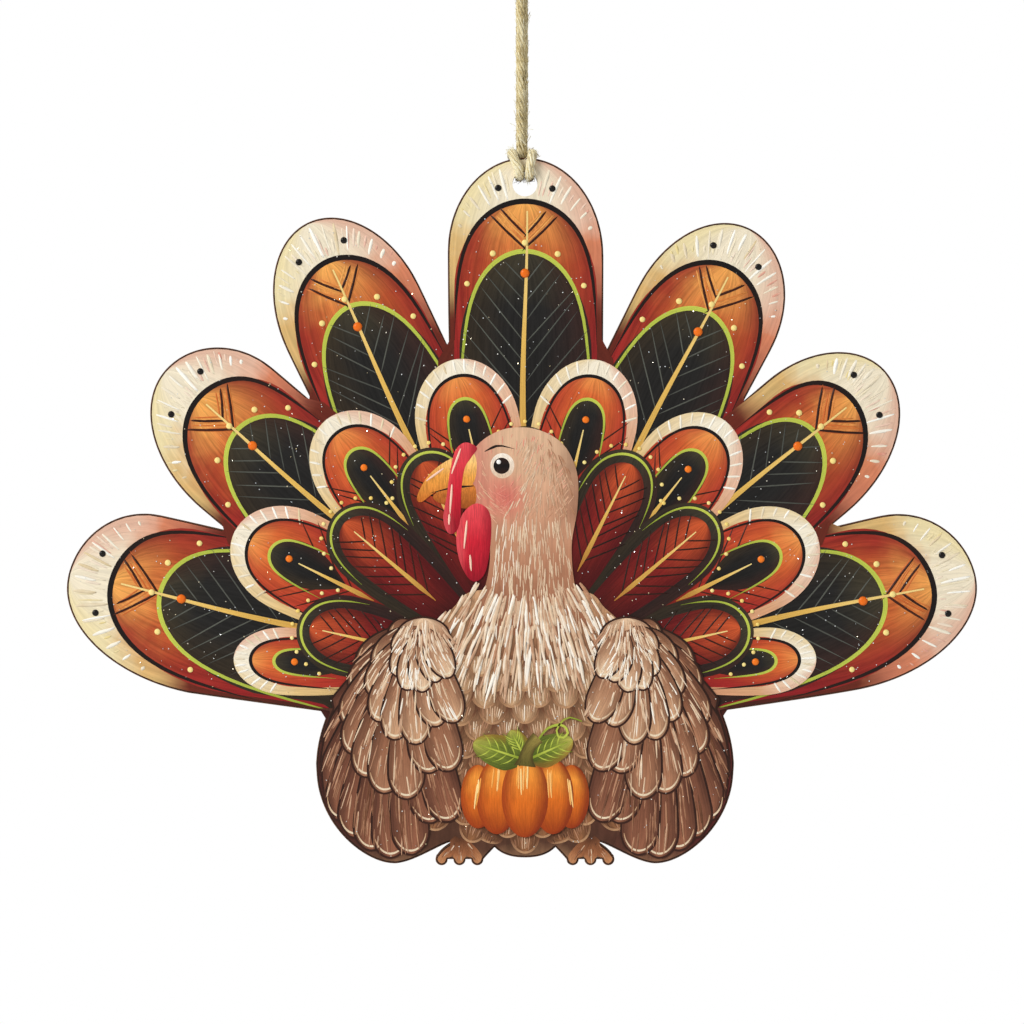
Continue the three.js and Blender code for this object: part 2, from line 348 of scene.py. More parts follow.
def applied(carrier, group, values, name):
    """Runs a Geometry Nodes group on an object, and keeps the result as a plain mesh."""
    modifier = carrier.modifiers.new("nodes", "NODES")
    modifier.node_group = group
    sockets = {i.name: i.identifier for i in group.interface.items_tree if i.in_out == "INPUT"}
    for key, value in values.items():
        modifier[sockets[key]] = value
    mesh = result(carrier)
    mesh.name = name
    bpy.data.objects.remove(carrier)
    return add_object(name, mesh)


# %% [markdown]
# The twine is a loosely twisted cord of jute. A smooth tube with a rope pattern would look
# flat at its outline, so each strand is its own tube that winds round the cord's line. The
# tree takes any line, copies it once for each strand, winds the copies, gives each its own
# thickness, and lays short loose fibres along them. The length along the line and a tone for
# each strand and fibre are kept as attributes for the material.

# %% Twine tree
CORD = 1.4 * MM
STRANDS = 7
STRAND_RADIUS = 0.265 * MM
STRAND_OFFSET = 0.47 * MM
LAY = -9.0 * MM
STRAND_STEP = 0.22 * MM
STRAND_SIDES = 8
SWELL_RATE = 420.0
SWELL_APART = 90.0
SWELL_LEAST = 0.72
SWELL_RANGE = 0.56
LUMP_SCALE = 1500.0
LUMP_HEIGHT = 0.1 * MM
FIBRE_DENSITY = 1.2e6
FIBRE_LENGTH = 1.5 * MM
FIBRE_RADIUS = 0.044 * MM
FIBRE_LEAST = 0.35
FIBRE_TONES = (-2.5, 3.5)
FIBRE_TURNS = ((-0.1, -0.12, -0.5), (0.1, 0.05, 0.5))


def twine_tree():
    """Lines in, twisted strands with loose fibres out."""
    t = Tree(
        "twine",
        Strands=STRANDS,
        Strand_Radius=STRAND_RADIUS,
        Strand_Offset=STRAND_OFFSET,
        Lay=LAY,
        Fibre_Density=FIBRE_DENSITY,
        Seed=1,
    )
    line = t.node("ResampleCurve", t.inputs["Geometry"], mode="LENGTH", Length=STRAND_STEP)
    copies = t.node("DuplicateElements", line, domain="SPLINE", Amount=t.inputs["Strands"])
    number = copies.outputs["Duplicate Index"]
    along = t.node("SplineParameter").outputs["Length"]
    shares = (t.math("DIVIDE", number, t.inputs["Strands"]), t.math("DIVIDE", along, t.inputs["Lay"]))
    turn = t.plus(*(t.times(share, 2 * math.pi) for share in shares))
    normal, tangent = t.node("InputNormal"), t.node("InputTangent")
    out = t.vector("SCALE", normal, Scale=t.math("COSINE", turn))
    across = t.vector("SCALE", t.vector("CROSS_PRODUCT", tangent, normal), Scale=t.math("SINE", turn))
    offset = t.vector("SCALE", t.vector("ADD", out, across), Scale=t.inputs["Strand Offset"])
    strands = t.node("SetPosition", copies, Offset=offset)
    tone = t.random(0.0, 1.0, ID=number)
    strands = t.stored(t.stored(strands, "along", along), "strand", tone)
    strands = t.stored(strands, "heading", tangent, "FLOAT_VECTOR")
    where = t.node("ShaderNodeCombineXYZ", t.times(along, SWELL_RATE), t.times(tone, SWELL_APART))
    uneven = t.node("ShaderNodeTexNoise", noise_dimensions="2D", Vector=where, Scale=1.0, Detail=1.0)
    swell = t.plus(SWELL_LEAST, t.times(uneven, SWELL_RANGE))
    circle = t.node("CurvePrimitiveCircle", Resolution=STRAND_SIDES, Radius=t.inputs["Strand Radius"])
    ring = t.stored(circle, "around", t.node("SplineParameter").outputs["Factor"])
    tubes = t.tube(strands, ring, Scale=swell)
    rough = t.node("ShaderNodeTexNoise", noise_dimensions="3D", Scale=LUMP_SCALE, Detail=2.0)
    push = t.times(t.minus(rough, 0.5), LUMP_HEIGHT)
    lumpy = t.node("SetPosition", tubes, Offset=t.vector("SCALE", t.node("InputNormal"), Scale=push))

    spots = t.node("DistributePointsOnFaces", tubes, Density=t.inputs["Fibre Density"], Seed=t.inputs["Seed"])
    hair = t.node(
        "CurveQuadraticBezier",
        Resolution=5,
        Start=(0, 0, 0),
        Middle=(0.5 * FIBRE_LENGTH, 0, 0.03 * FIBRE_LENGTH),
        End=(FIBRE_LENGTH, 0, 0.1 * FIBRE_LENGTH),
    )
    fibre = t.tube(hair, t.node("CurvePrimitiveCircle", Resolution=3, Radius=FIBRE_RADIUS))
    laid = t.node(
        "FunctionNodeAlignEulerToVector",
        axis="X",
        pivot_axis="Z",
        Rotation=spots.outputs["Rotation"],
        Vector=t.named("heading", "FLOAT_VECTOR"),
    )
    stray = t.node("FunctionNodeRotateEuler", space="LOCAL", Rotation=laid, Rotate_By=t.random(*FIBRE_TURNS))
    dyed = t.stored(spots, "strand", t.random(*FIBRE_TONES))
    fibres = t.copies(dyed, fibre, stray, t.random(FIBRE_LEAST, 1.0))
    both = t.node("JoinGeometry", t.node("SetShadeSmooth", lumpy))
    t.put(both.inputs[0], fibres)
    return t.finish(both)


TWINE = twine_tree()
print("twine tree:", len(TWINE.nodes), "nodes")

# %% Twine material
STRAWS = [(0.36, (88, 70, 34)), (0.47, (200, 177, 120)), (0.58, (238, 222, 172)), (0.74, (255, 250, 222))]
# A paler straw, used as a painted highlight on the hitch's lower front
LIT_STRAWS = [(0.34, (112, 88, 46)), (0.44, (222, 200, 146)), (0.56, (248, 235, 190)), (0.74, (255, 252, 232))]


def twine_material():
    """Straw-coloured fibres that run along each strand. The hitch's lower front is painted paler, as a
    painted highlight where the light falls on it.
    """
    m = Mat("twine_fibre", rough=0.85, specular=0.25)
    place = m.place()
    lie = m.node("CombineXYZ", m.attribute("around"), m.times(m.attribute("along"), 260.0))
    fibres = m.noise(m.stretch(lie, (6.0, 1.0, 1.0)), 3.0, 4.0, 0.7, 0.4)
    own = m.times(m.minus(m.attribute("strand"), 0.5), 0.1)
    patches = m.times(m.noise(place, 420.0, 2.0), 0.1)
    tone = m.plus(m.plus(m.times(m.minus(fibres, 0.11), 1.3), patches), own)
    straw = m.ramp(tone, STRAWS)
    # Painted highlight: the same fibres in a paler straw, for the part of the hitch that faces the lamps
    pale = m.ramp(tone, LIT_STRAWS)
    _, y, z = m.node("SeparateXYZ", place).outputs
    # Where the painted highlight goes: the front of the hitch, low down, where the light falls on it
    front = m.span(y, 2.0 * MM, -1.0 * MM)
    low = m.span(z, -40.5 * MM, -42.5 * MM)
    m.colour(m.mix(m.times(front, low), straw, pale))
    m.bump(fibres, 0.9, 0.14 * MM)
    return m.material


STRAW = twine_material()
print("twine material:", len(STRAW.node_tree.nodes), "nodes")

# %% [markdown]
# A cord's line is a short list of points, and a smooth line through them is the cord. A
# Bezier curve would need handles at every point; this curve passes through the points
# themselves and doesn't swing wide where they stand close together.

# %% A smooth line, and twine along it
SPAN_STEPS = 12


def line_length(line):
    return float(np.linalg.norm(np.diff(line, axis=0), axis=1).sum())


def travelled(line, power=1.0):
    """How far it is along a line to each of its points. power counts long steps for less."""
    return np.concatenate([[0], np.cumsum(np.linalg.norm(np.diff(line, axis=0), axis=1) ** power)])


def part_way(a, b, start, end, t):
    """What lies between a and b at the times t, when a is at the start and b at the end."""
    return (end - t) / (end - start) * a + (t - start) / (end - start) * b


def smooth_line(points, step=0.3):
    """A smooth line through points in millimetres, as points in metres that lie step apart."""
    p = np.array(points, float)
    p = np.vstack([2 * p[0] - p[1], p, 2 * p[-1] - p[-2]])
    times = travelled(p, 0.5)
    out = []
    for i in range(1, len(p) - 2):
        row, at = p[i - 1 : i + 3], times[i - 1 : i + 3]
        t = np.linspace(at[1], at[2], SPAN_STEPS, endpoint=False)[:, None]
        for spans in (((0, 1), (1, 2), (2, 3)), ((0, 2), (1, 3)), ((1, 2),)):
            row = [part_way(a, b, at[j], at[k], t) for a, b, (j, k) in zip(row, row[1:], spans)]
        out += row
    line = np.vstack([*out, p[-2]])
    along = travelled(line)
    at = np.linspace(0, along[-1], max(2, round(along[-1] / step) + 1))
    return np.stack([np.interp(at, along, line[:, k]) for k in range(3)], axis=1) * MM


def twine(name, lines, seed):
    """Twisted twine along one or more lines, as one mesh."""
    curve = bpy.data.curves.new(name, "CURVE")
    curve.dimensions = "3D"
    for line in lines:
        spline = curve.splines.new("POLY")
        spline.points.add(len(line) - 1)
        spline.points.foreach_set("co", np.c_[line, np.ones(len(line))].ravel())
    made = applied(add_object(name + "_line", curve), TWINE, {"Seed": seed, "Material": STRAW}, name)
    return made


print("a smooth corner has", len(smooth_line([[0, 0, 0], [5, 0, 0], [5, 0, 5]])), "points")

# %% [markdown]
# The legs and the knot follow the CAD's own points, in millimetres, moved a little to the
# left to where the photograph has them. The legs lean from behind the board to the hook,
# open round it, and go up into the knot. The knot is two tails with their cut ends and a few
# turns round them. It could be one line tied as a real knot, but it is small and high up, and
# three lines look the same.

# %% The legs and the knot
HOLE_Z = -48.4
TOP_Z = -44.375
CUT_Z = -39.725
MID_CUT_Y = 4.425
STRAND = 1.85
LEG_X = 0.2
CORD_X = -0.45
OPEN_Y = 2.2
KNOT_Z = 2.4
WRAP_Z = 4.1
WRAP_TOP_Z = 7.18
WRAP_TURNS = 2.2
WRAP_WIDE = 1.25
WRAP_DEEP = STRAND / 2 + 1.15
WRAP_STEPS = 40


def leg_points(side):
    """One leg of the loop, from the hitch up to the knot."""
    x, half = side * LEG_X + CORD_X, STRAND / 2
    # Each place is a share of the way down from the hook, and half the space between the legs
    shares = [(share, half) for share in (1.0, 0.9, 0.75, 0.6, 0.45, 0.3)]
    shares += [(0.19, 0.55 * STRAND), (0.1, 0.85 * OPEN_Y), (0.045, OPEN_Y), (0, 0.9 * OPEN_Y)]
    closing = [[x, side * half, z] for z in (KNOT_Z - 0.8, KNOT_Z + 0.3)]
    return [[x, MID_CUT_Y * share + side * gap, CUT_Z * share] for share, gap in shares] + closing


def knot_lines():
    """The knot: two tails that run up through it to their cut ends, and the turns round them."""
    tails = []
    for side in (-1, 1):
        straight = [[side * LEG_X, side * STRAND / 2, z] for z in (KNOT_Z, WRAP_Z, WRAP_TOP_Z)]
        ends = [
            [side * 1.2, side * STRAND, WRAP_TOP_Z + 3.5],
            [side * 1.9, side * 1.5 * STRAND, WRAP_TOP_Z + 6.6],
        ]
        tails.append(smooth_line(np.array(straight + ends) + (CORD_X, 0, 0)))
    turns = np.linspace(0, 2 * math.pi * WRAP_TURNS, WRAP_STEPS)
    rise = np.linspace(0, WRAP_TURNS * CORD / MM, WRAP_STEPS)
    wrap = np.c_[CORD_X + WRAP_WIDE * np.cos(turns), WRAP_DEEP * np.sin(turns), WRAP_Z + rise]
    return [*tails, smooth_line(wrap)]


LEG_LINES = {"front": smooth_line(leg_points(-1)), "back": smooth_line(leg_points(1))}
print("legs", [round(line_length(line) / MM, 1) for line in LEG_LINES.values()], "mm")

# %% [markdown]
# The hitch is a lark's head: both legs come through the hole from behind, rise on the front,
# go back over the top edge and meet in a bight behind the legs. It is one line, drawn a little
# tighter than its solid, because real twine touches the wood it bears on.

# %% The hitch
FRONT_Y = -3.4
BACK_Y = 3.3
LEG_B_Y = 4.95
BIGHT_Y = 6.6
RUN_Z = -43.68
RUN_X = {-1: 2.0, 1: 1.15}
SIDE_X = {-1: 0.85, 1: 0.66}
PINCH_Z = HOLE_Z + 1.2


def front_points(side):
    """Half of the hitch's front: out of the hole, up, over the top edge, and to the bight."""
    low, high = SIDE_X[side], RUN_X[side]
    # Each place has a share of the way from the hole's side out to the run over the edge
    places = [
        (0.0, 0, PINCH_Z),
        (0.0, FRONT_Y + 1.3, PINCH_Z),
        (0.04, FRONT_Y + 0.3, PINCH_Z + 0.4),
        (0.14, FRONT_Y, PINCH_Z + 1.2),
        (0.55, FRONT_Y, TOP_Z - 0.6),
        (0.85, FRONT_Y + 0.15, TOP_Z + 0.35),
        (0.95, FRONT_Y + 0.85, RUN_Z - 0.05),
        (1.0, FRONT_Y + 2, RUN_Z),
        (1.0, 2.5, RUN_Z),
        (1.0, LEG_B_Y, RUN_Z),
        (0.7, BIGHT_Y - 0.35, RUN_Z),
    ]
    return [[side * (low + share * (high - low)), y, z] for share, y, z in places]


def hitch_points():
    """The whole lark's head, from the foot of one leg to the foot of the other."""
    left, right = -SIDE_X[-1], SIDE_X[1]
    back_a = [
        [-LEG_X + CORD_X, MID_CUT_Y - STRAND / 2, CUT_Z + 0.2],
        [-LEG_X + CORD_X, BACK_Y, TOP_Z + 0.6],
        [left + 0.15, BACK_Y, TOP_Z - 1],
        [left + 0.05, BACK_Y, HOLE_Z + 2.1],
        [left, BACK_Y - 0.3, PINCH_Z + 0.35],
        [left, BACK_Y - 1.2, PINCH_Z],
    ]
    back_b = [
        [LEG_X + CORD_X, MID_CUT_Y + STRAND / 2, CUT_Z + 0.2],
        [LEG_X + CORD_X, LEG_B_Y, TOP_Z + 0.6],
        [right - 0.45, LEG_B_Y - 0.1, TOP_Z - 0.6],
        [right, BACK_Y + 0.6, HOLE_Z + 2.3],
        [right, BACK_Y - 0.1, PINCH_Z + 0.5],
        [right, BACK_Y - 1.2, PINCH_Z],
    ]
    bight = [[CORD_X, BIGHT_Y, RUN_Z]]
    return back_a + front_points(-1) + bight + front_points(1)[::-1] + back_b[::-1]


HITCH_LINE = smooth_line(hitch_points())
print("hitch", round(line_length(HITCH_LINE) / MM, 1), "mm of twine")

# %% [markdown]
# The hitch rides on its own body. The knot rides on the loop, which the hook holds still.
# A leg could be rigid and turn with one of them, but it would tear at the other end. Here each leg stays a
# plain mesh where it lies, on no body.

# %% Twine on the hitch and the knot
hitch = twine("twine_hitch", [HITCH_LINE], 11)
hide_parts("cord_hitch")
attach(hitch, "hitch")

knot = twine("twine_knot", knot_lines(), 12)
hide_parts("cord_knot")
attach(knot, "hanging_loop")
print("hitch and knot:", len(hitch.data.polygons), "and", len(knot.data.polygons), "faces")

# %% Twine on the legs
for seed, (which, line) in enumerate(LEG_LINES.items(), 21):
    leg = twine("twine_leg_" + which, [line], seed)
    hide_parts("cord_leg_" + which)
    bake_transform(leg)
    print(leg.name, round(line_length(line) / MM, 1), "mm,", len(leg.data.polygons), "faces")

# %% [markdown]
# The board's outline could be drawn again by hand, but the frame already has it. It is read
# from the edges that bound the front of the printed coat, chained into loops.

# %% Read the outline
def front_loops(node):
    """The closed loops that bound a node's front face, as (x, z) points in millimetres."""
    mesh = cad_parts[node].data
    mesh.calc_loop_triangles()
    points = np.array([v.co for v in mesh.vertices], float) / MM
    front = points[:, 1].min()
    keys = [tuple(np.round(p[[0, 2]], 4)) for p in points]
    edges = set()
    for triangle in mesh.loop_triangles:
        corners = list(triangle.vertices)
        if all(points[c, 1] < front + 1e-3 for c in corners):
            edges.update((keys[a], keys[b]) for a, b in zip(corners, corners[1:] + corners[:1]))
    after = {a: b for a, b in edges if (b, a) not in edges}
    loops = []
    while after:
        start, place = after.popitem()
        loop = [start]
        while place != start:
            loop.append(place)
            place = after.pop(place)
        loops.append(np.array(loop))
    return sorted(loops, key=len, reverse=True)


loops = front_loops("front_print")
print("outline", len(loops[0]), "corners, hole", len(loops[1]), "corners")

# %% [markdown]
# The CAD's corners lie on true curves, so a smooth line through them gives the fine outline
# back. A subdivision modifier would round off the sharp corners, where two feathers meet, so
# the curve is worked out here and stops at each of them.

# %% Smooth the outline
CORNER_DEGREES = 40
FINE_STEPS = 4


def between(a, b, leave, arrive, steps):
    """Points on the smooth curve from a to b that leaves and arrives in two directions."""
    out = []
    for t in np.arange(steps) / steps:
        h = 2 * t**3 - 3 * t**2
        out.append((h + 1) * a + (t**3 - 2 * t**2 + t) * leave - h * b + (t**3 - t**2) * arrive)
    return out


def fine_loop(loop):
    """A loop with FINE_STEPS points for each of the CAD's, smooth except at sharp corners."""
    ahead = np.roll(loop, -1, axis=0) - loop
    aim = np.arctan2(ahead[:, 1], ahead[:, 0])
    turn = np.abs((aim - np.roll(aim, 1) + math.pi) % (2 * math.pi) - math.pi)
    sharp = turn > math.radians(CORNER_DEGREES)
    count = len(loop)
    out = []
    for i in range(count):
        a, b = loop[i], loop[(i + 1) % count]
        before = 2 * a - b if sharp[i] else loop[i - 1]
        beyond = 2 * b - a if sharp[(i + 1) % count] else loop[(i + 2) % count]
        long = 3 * np.linalg.norm(b - a)
        leave = b - a if np.linalg.norm(a - before) > long else (b - before) / 2
        arrive = b - a if np.linalg.norm(beyond - b) > long else (beyond - a) / 2
        out += between(a, b, leave, arrive, FINE_STEPS)
    return np.array(out)


def turned_left(loop):
    """The loop with the board on its left, seen from the front."""
    x, z = loop.T
    area = np.sum(x * np.roll(z, -1) - np.roll(x, -1) * z)
    return loop if area > 0 else loop[::-1]


OUTER = turned_left(fine_loop(loops[0]))
INNER = turned_left(fine_loop(loops[1]))[::-1]
print("outline", len(OUTER), "points, hole", len(INNER), "points")

# %% [markdown]
# The board is birch plywood, cut by a laser that leaves its edge brown. The grain runs across
# it. An image of wood would show where it repeats; stretched noise on Object coordinates
# gives long grain without a seam, and goes through the ply to its back.

# %% Wood
def edge_material(name, light, dark):
    """The laser's brown edge: fine upright streaks, darker and lighter by turns."""
    m = Mat(name, rough=0.75, specular=0.25)
    place = m.place()
    streaks = m.noise(m.stretch(place, (1.0, 0.06, 1.0)), 2600.0, 3.0, 0.6)
    tone = m.plus(m.times(streaks, 0.6), m.times(m.noise(place, 160.0, 2.0), 0.4))
    m.colour(m.ramp(tone, [(0.32, dark), (0.68, light)]))
    m.bump(streaks, 0.4, 0.08 * MM)
    return m.material


def veneer_material(name):
    """Birch veneer: long soft grain across the board, and short dark pores."""
    m = Mat(name, rough=0.62, specular=0.3)
    place = m.place()
    bent = m.noise(m.stretch(place, (1.0, 1.0, 3.0)), 14.0, 2.0, 0.5)
    rings = m.noise(m.stretch(place, (0.05, 1.0, 1.0)), 420.0, 4.0, 0.6, 0.8)
    pores = m.noise(m.stretch(place, (0.06, 1.0, 1.0)), 2600.0, 2.0, 0.5)
    tone = m.plus(m.times(rings, 0.7), m.times(bent, 0.35))
    wood = m.ramp(tone, [(0.34, (196, 158, 108)), (0.52, (222, 192, 148)), (0.70, (233, 209, 170))])
    m.colour(m.mix(m.times(m.span(pores, 0.62, 0.72), 0.45), wood, (150, 108, 66)))
    m.bump(pores, 0.25, 0.05 * MM)
    return m.material


FACE_EDGE = edge_material("burnt_veneer_edge", (112, 70, 42), (52, 30, 18))
CORE_EDGE = edge_material("burnt_core_edge", (86, 52, 32), (40, 23, 15))
VENEER = veneer_material("birch_veneer")
print("wood:", [m.name for m in (FACE_EDGE, CORE_EDGE, VENEER)])

# %% [markdown]
# Each ply is drawn again from the fine outline, so that its cut edge is round where the CAD
# is stepped. The printed coat has a small round at its front corner and the back ply at its
# back corner, where sanding takes the edge off. A bevel modifier would round the stepped
# corners of the feathers too, so the rounds are built row by row.

# %% Loops and closed meshes
def unit(ways):
    """Directions, each with a length of one."""
    return ways / np.maximum(np.linalg.norm(ways, axis=1), 1e-9)[:, None]


def inward(loop, distance):
    """A loop moved into the board by a distance, along the mean normal of each corner."""
    ahead = np.roll(loop, -1, axis=0) - loop
    side = unit(np.c_[-ahead[:, 1], ahead[:, 0]])
    return loop + distance * unit(side + np.roll(side, 1, axis=0))


def triangles(*rings):
    """Flat rings of (x, z) points as triangles. The first ring is filled and the others are holes."""
    return tessellate_polygon([[Vector((x, z, 0)) for x, z in ring] for ring in rings])


def face_out(mesh):
    """Turns the faces of a closed mesh outwards."""
    made = bmesh.new()
    made.from_mesh(mesh)
    bmesh.ops.recalc_face_normals(made, faces=made.faces)
    made.to_mesh(mesh)
    made.free()


print("the outline 1 mm in is", round(np.abs(inward(OUTER, 1.0) - OUTER).max(), 2), "mm away at most")

# %% Cut a layer of the board
EDGE_ROUND = 0.16
ROUND_STEPS = 3
SHARP_EDGE = math.radians(35)


def plate(name, node, materials, round_front=0.0, round_back=0.0):
    """The board's layer for a node, with materials for its front, its edge and its back."""
    low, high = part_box(node)
    steps = [math.pi / 2 * i / ROUND_STEPS for i in range(ROUND_STEPS + 1)]
    rows = []
    for y, way, r, turns in ((low.y, 1, round_front, steps), (high.y, -1, round_back, steps[::-1])):
        rows += [(y / MM + way * r * (1 - math.cos(a)), r * (1 - math.sin(a))) for a in turns]
    rows = [row for i, row in enumerate(rows) if i == 0 or row != rows[i - 1]]
    verts, faces, marks, caps = [], [], [], {0: [], len(rows) - 1: []}
    for loop in (OUTER, INNER):
        count, first = len(loop), len(verts)
        for i, (y, inset) in enumerate(rows):
            ring = inward(loop, inset)
            if i in caps:
                caps[i].append((len(verts), ring))
            verts += [(x * MM, y * MM, z * MM) for x, z in ring]
        for i in range(len(rows) - 1):
            for k in range(count):
                a, b = first + i * count + k, first + i * count + (k + 1) % count
                faces.append((a, a + count, b + count, b))
                marks.append(1)
    for mark, rings in zip((0, 2), caps.values()):
        index = [start + k for start, ring in rings for k in range(len(ring))]
        for triangle in triangles(*(ring for _, ring in rings)):
            faces.append(tuple(index[k] for k in triangle))
            marks.append(mark)
    mesh = bpy.data.meshes.new(name)
    mesh.from_pydata(verts, [], faces)
    for material in materials:
        mesh.materials.append(material)
    mesh.polygons.foreach_set("material_index", marks)
    face_out(mesh)
    mesh.shade_smooth()
    mesh.set_sharp_from_angle(angle=SHARP_EDGE)
    made = add_object(name, mesh)
    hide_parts(node)
    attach(made, "board")
    print(name, len(faces), "faces")


for node, slot, edge, sanded in (
    ("face_veneer", "veneer", FACE_EDGE, 0.0),
    ("core_ply", "core", CORE_EDGE, 0.0),
    ("back_veneer", "veneer", FACE_EDGE, EDGE_ROUND),
):
    plate("ply_" + node, node, (VENEER, edge, VENEER), round_back=sanded)

# %% [markdown]
# The tail's feathers are found on the outline, so that the paint fits the cut. Seen from the
# fan's centre, a tip is where the outline is furthest away. A feather's two sides aren't
# alike, so each one's width and the length of its rounded end are the pair that fits the
# outline's points best.

# %% Find the feathers
TAIL_LENGTH = 79.9
FAN_Z = TOP_Z - TAIL_LENGTH
LEAST_REACH = 65.0
TIP_WINDOW = 30
NOSES = np.arange(10.0, 24.0, 0.2)
WIDEST = 16
BOARD = OUTER - np.array([0, FAN_Z])


def fitted_side(angle, length, side):
    """How far a feather's side stands out, and how long its rounded end is. side -1 is the left."""
    turn = math.radians(angle)
    x, z = BOARD.T
    across, along = x * math.cos(turn) - z * math.sin(turn), x * math.sin(turn) + z * math.cos(turn)
    best = (1e9, 0, 0)
    for nose in NOSES:
        share = (along - (length - nose)) / nose
        near = (share > 0.1) & (share < 0.95) & (side * across > 0) & (side * across < WIDEST)
        round_part = np.sqrt(1 - share[near] ** 2)
        half = float(np.median(np.abs(across[near]) / round_part))
        error = float(np.abs(np.abs(across[near]) - half * round_part).mean())
        best = min(best, (error, half, float(nose)))
    return best[1:]


def find_feathers():
    """The tail's feathers from left to right: lean in degrees, and shape.

    A shape is its tip's distance, its half widths and its noses, left and right.
    """
    reach = np.linalg.norm(BOARD, axis=1)
    out = []
    for i in range(len(reach)):
        around = reach[np.arange(i - TIP_WINDOW, i + TIP_WINDOW) % len(reach)]
        if reach[i] > LEAST_REACH and reach[i] == around.max():
            angle = math.degrees(math.atan2(*BOARD[i]))
            halves, noses = zip(*(fitted_side(angle, reach[i], side) for side in (-1, 1)))
            out.append((angle, (float(reach[i]), halves, noses)))
    return sorted(out)


FEATHERS = find_feathers()
for angle, (length, halves, noses) in FEATHERS:
    print("feather at %6.1f degrees: %.1f long" % (angle, length), "half widths", halves, "noses", noses)

# %% [markdown]
# Paint must stop at the board's edge. A boolean with the outline would cut it there, but it is
# slow and leaves slivers, so each shape is measured to the edge and made to fit.

# %% Measure the board
FAR = 99.0


def inside_loop(points, loop):
    """Which points lie inside a closed loop: a ray to the right crosses it an odd number of times."""
    x, z = points[:, :1], points[:, 1:]
    (xa, za), (xb, zb) = loop.T, np.roll(loop, -1, axis=0).T
    rise = np.where(zb == za, 1e-9, zb - za)
    crossed = ((za > z) != (zb > z)) & (x < (xb - xa) * (z - za) / rise + xa)
    return crossed.sum(axis=1) % 2 == 1


@functools.lru_cache
def board_edge(margin):
    """The board's edge, moved in by a margin, in millimetres from the fan's centre."""
    return inward(OUTER, margin) - np.array([0, FAN_Z])


def heading(angle):
    """The direction of an angle from upright, clockwise from the front."""
    return np.array([math.sin(math.radians(angle)), math.cos(math.radians(angle))])


def edge_gap(start, way, margin=0.0):
    """How far the board goes from a point in a direction, short of its edge by a margin."""
    a = board_edge(margin) - start
    b = np.roll(a, -1, axis=0)
    side_a, side_b = a @ [way[1], -way[0]], b @ [way[1], -way[0]]
    crossing = np.flatnonzero((side_a * side_b <= 0) & (side_a != side_b))
    share = side_a[crossing] / (side_a[crossing] - side_b[crossing])
    along = (a[crossing] + share[:, None] * (b[crossing] - a[crossing])) @ way
    return float(along[along > 0].min(initial=FAR))


print("from the fan's centre the board goes up", round(edge_gap(np.zeros(2), heading(0)), 1), "mm")

# %% [markdown]
# Paint is built up in layers, each a few thousandths of a millimetre over the last. It could
# be one flat picture, but real paint has edges that catch the light. A shape is a ribbon: a
# line with a width at each point. Its UV map runs across and along it, so a material can shade
# a feather from root to tip and streak it the way the brush went. Each shape is closed and
# reaches down to the board.

# %% A painter for ribbons and filled shapes
LAYER = 0.006
FACE = -FACE_Y / MM
UNDER = 0.02
THIN_END = 0.02


def on_board(piece):
    """A painted piece moves with the board."""
    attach(piece, "board")
    print("paint:", piece.name, len(piece.data.polygons), "faces")
    return piece


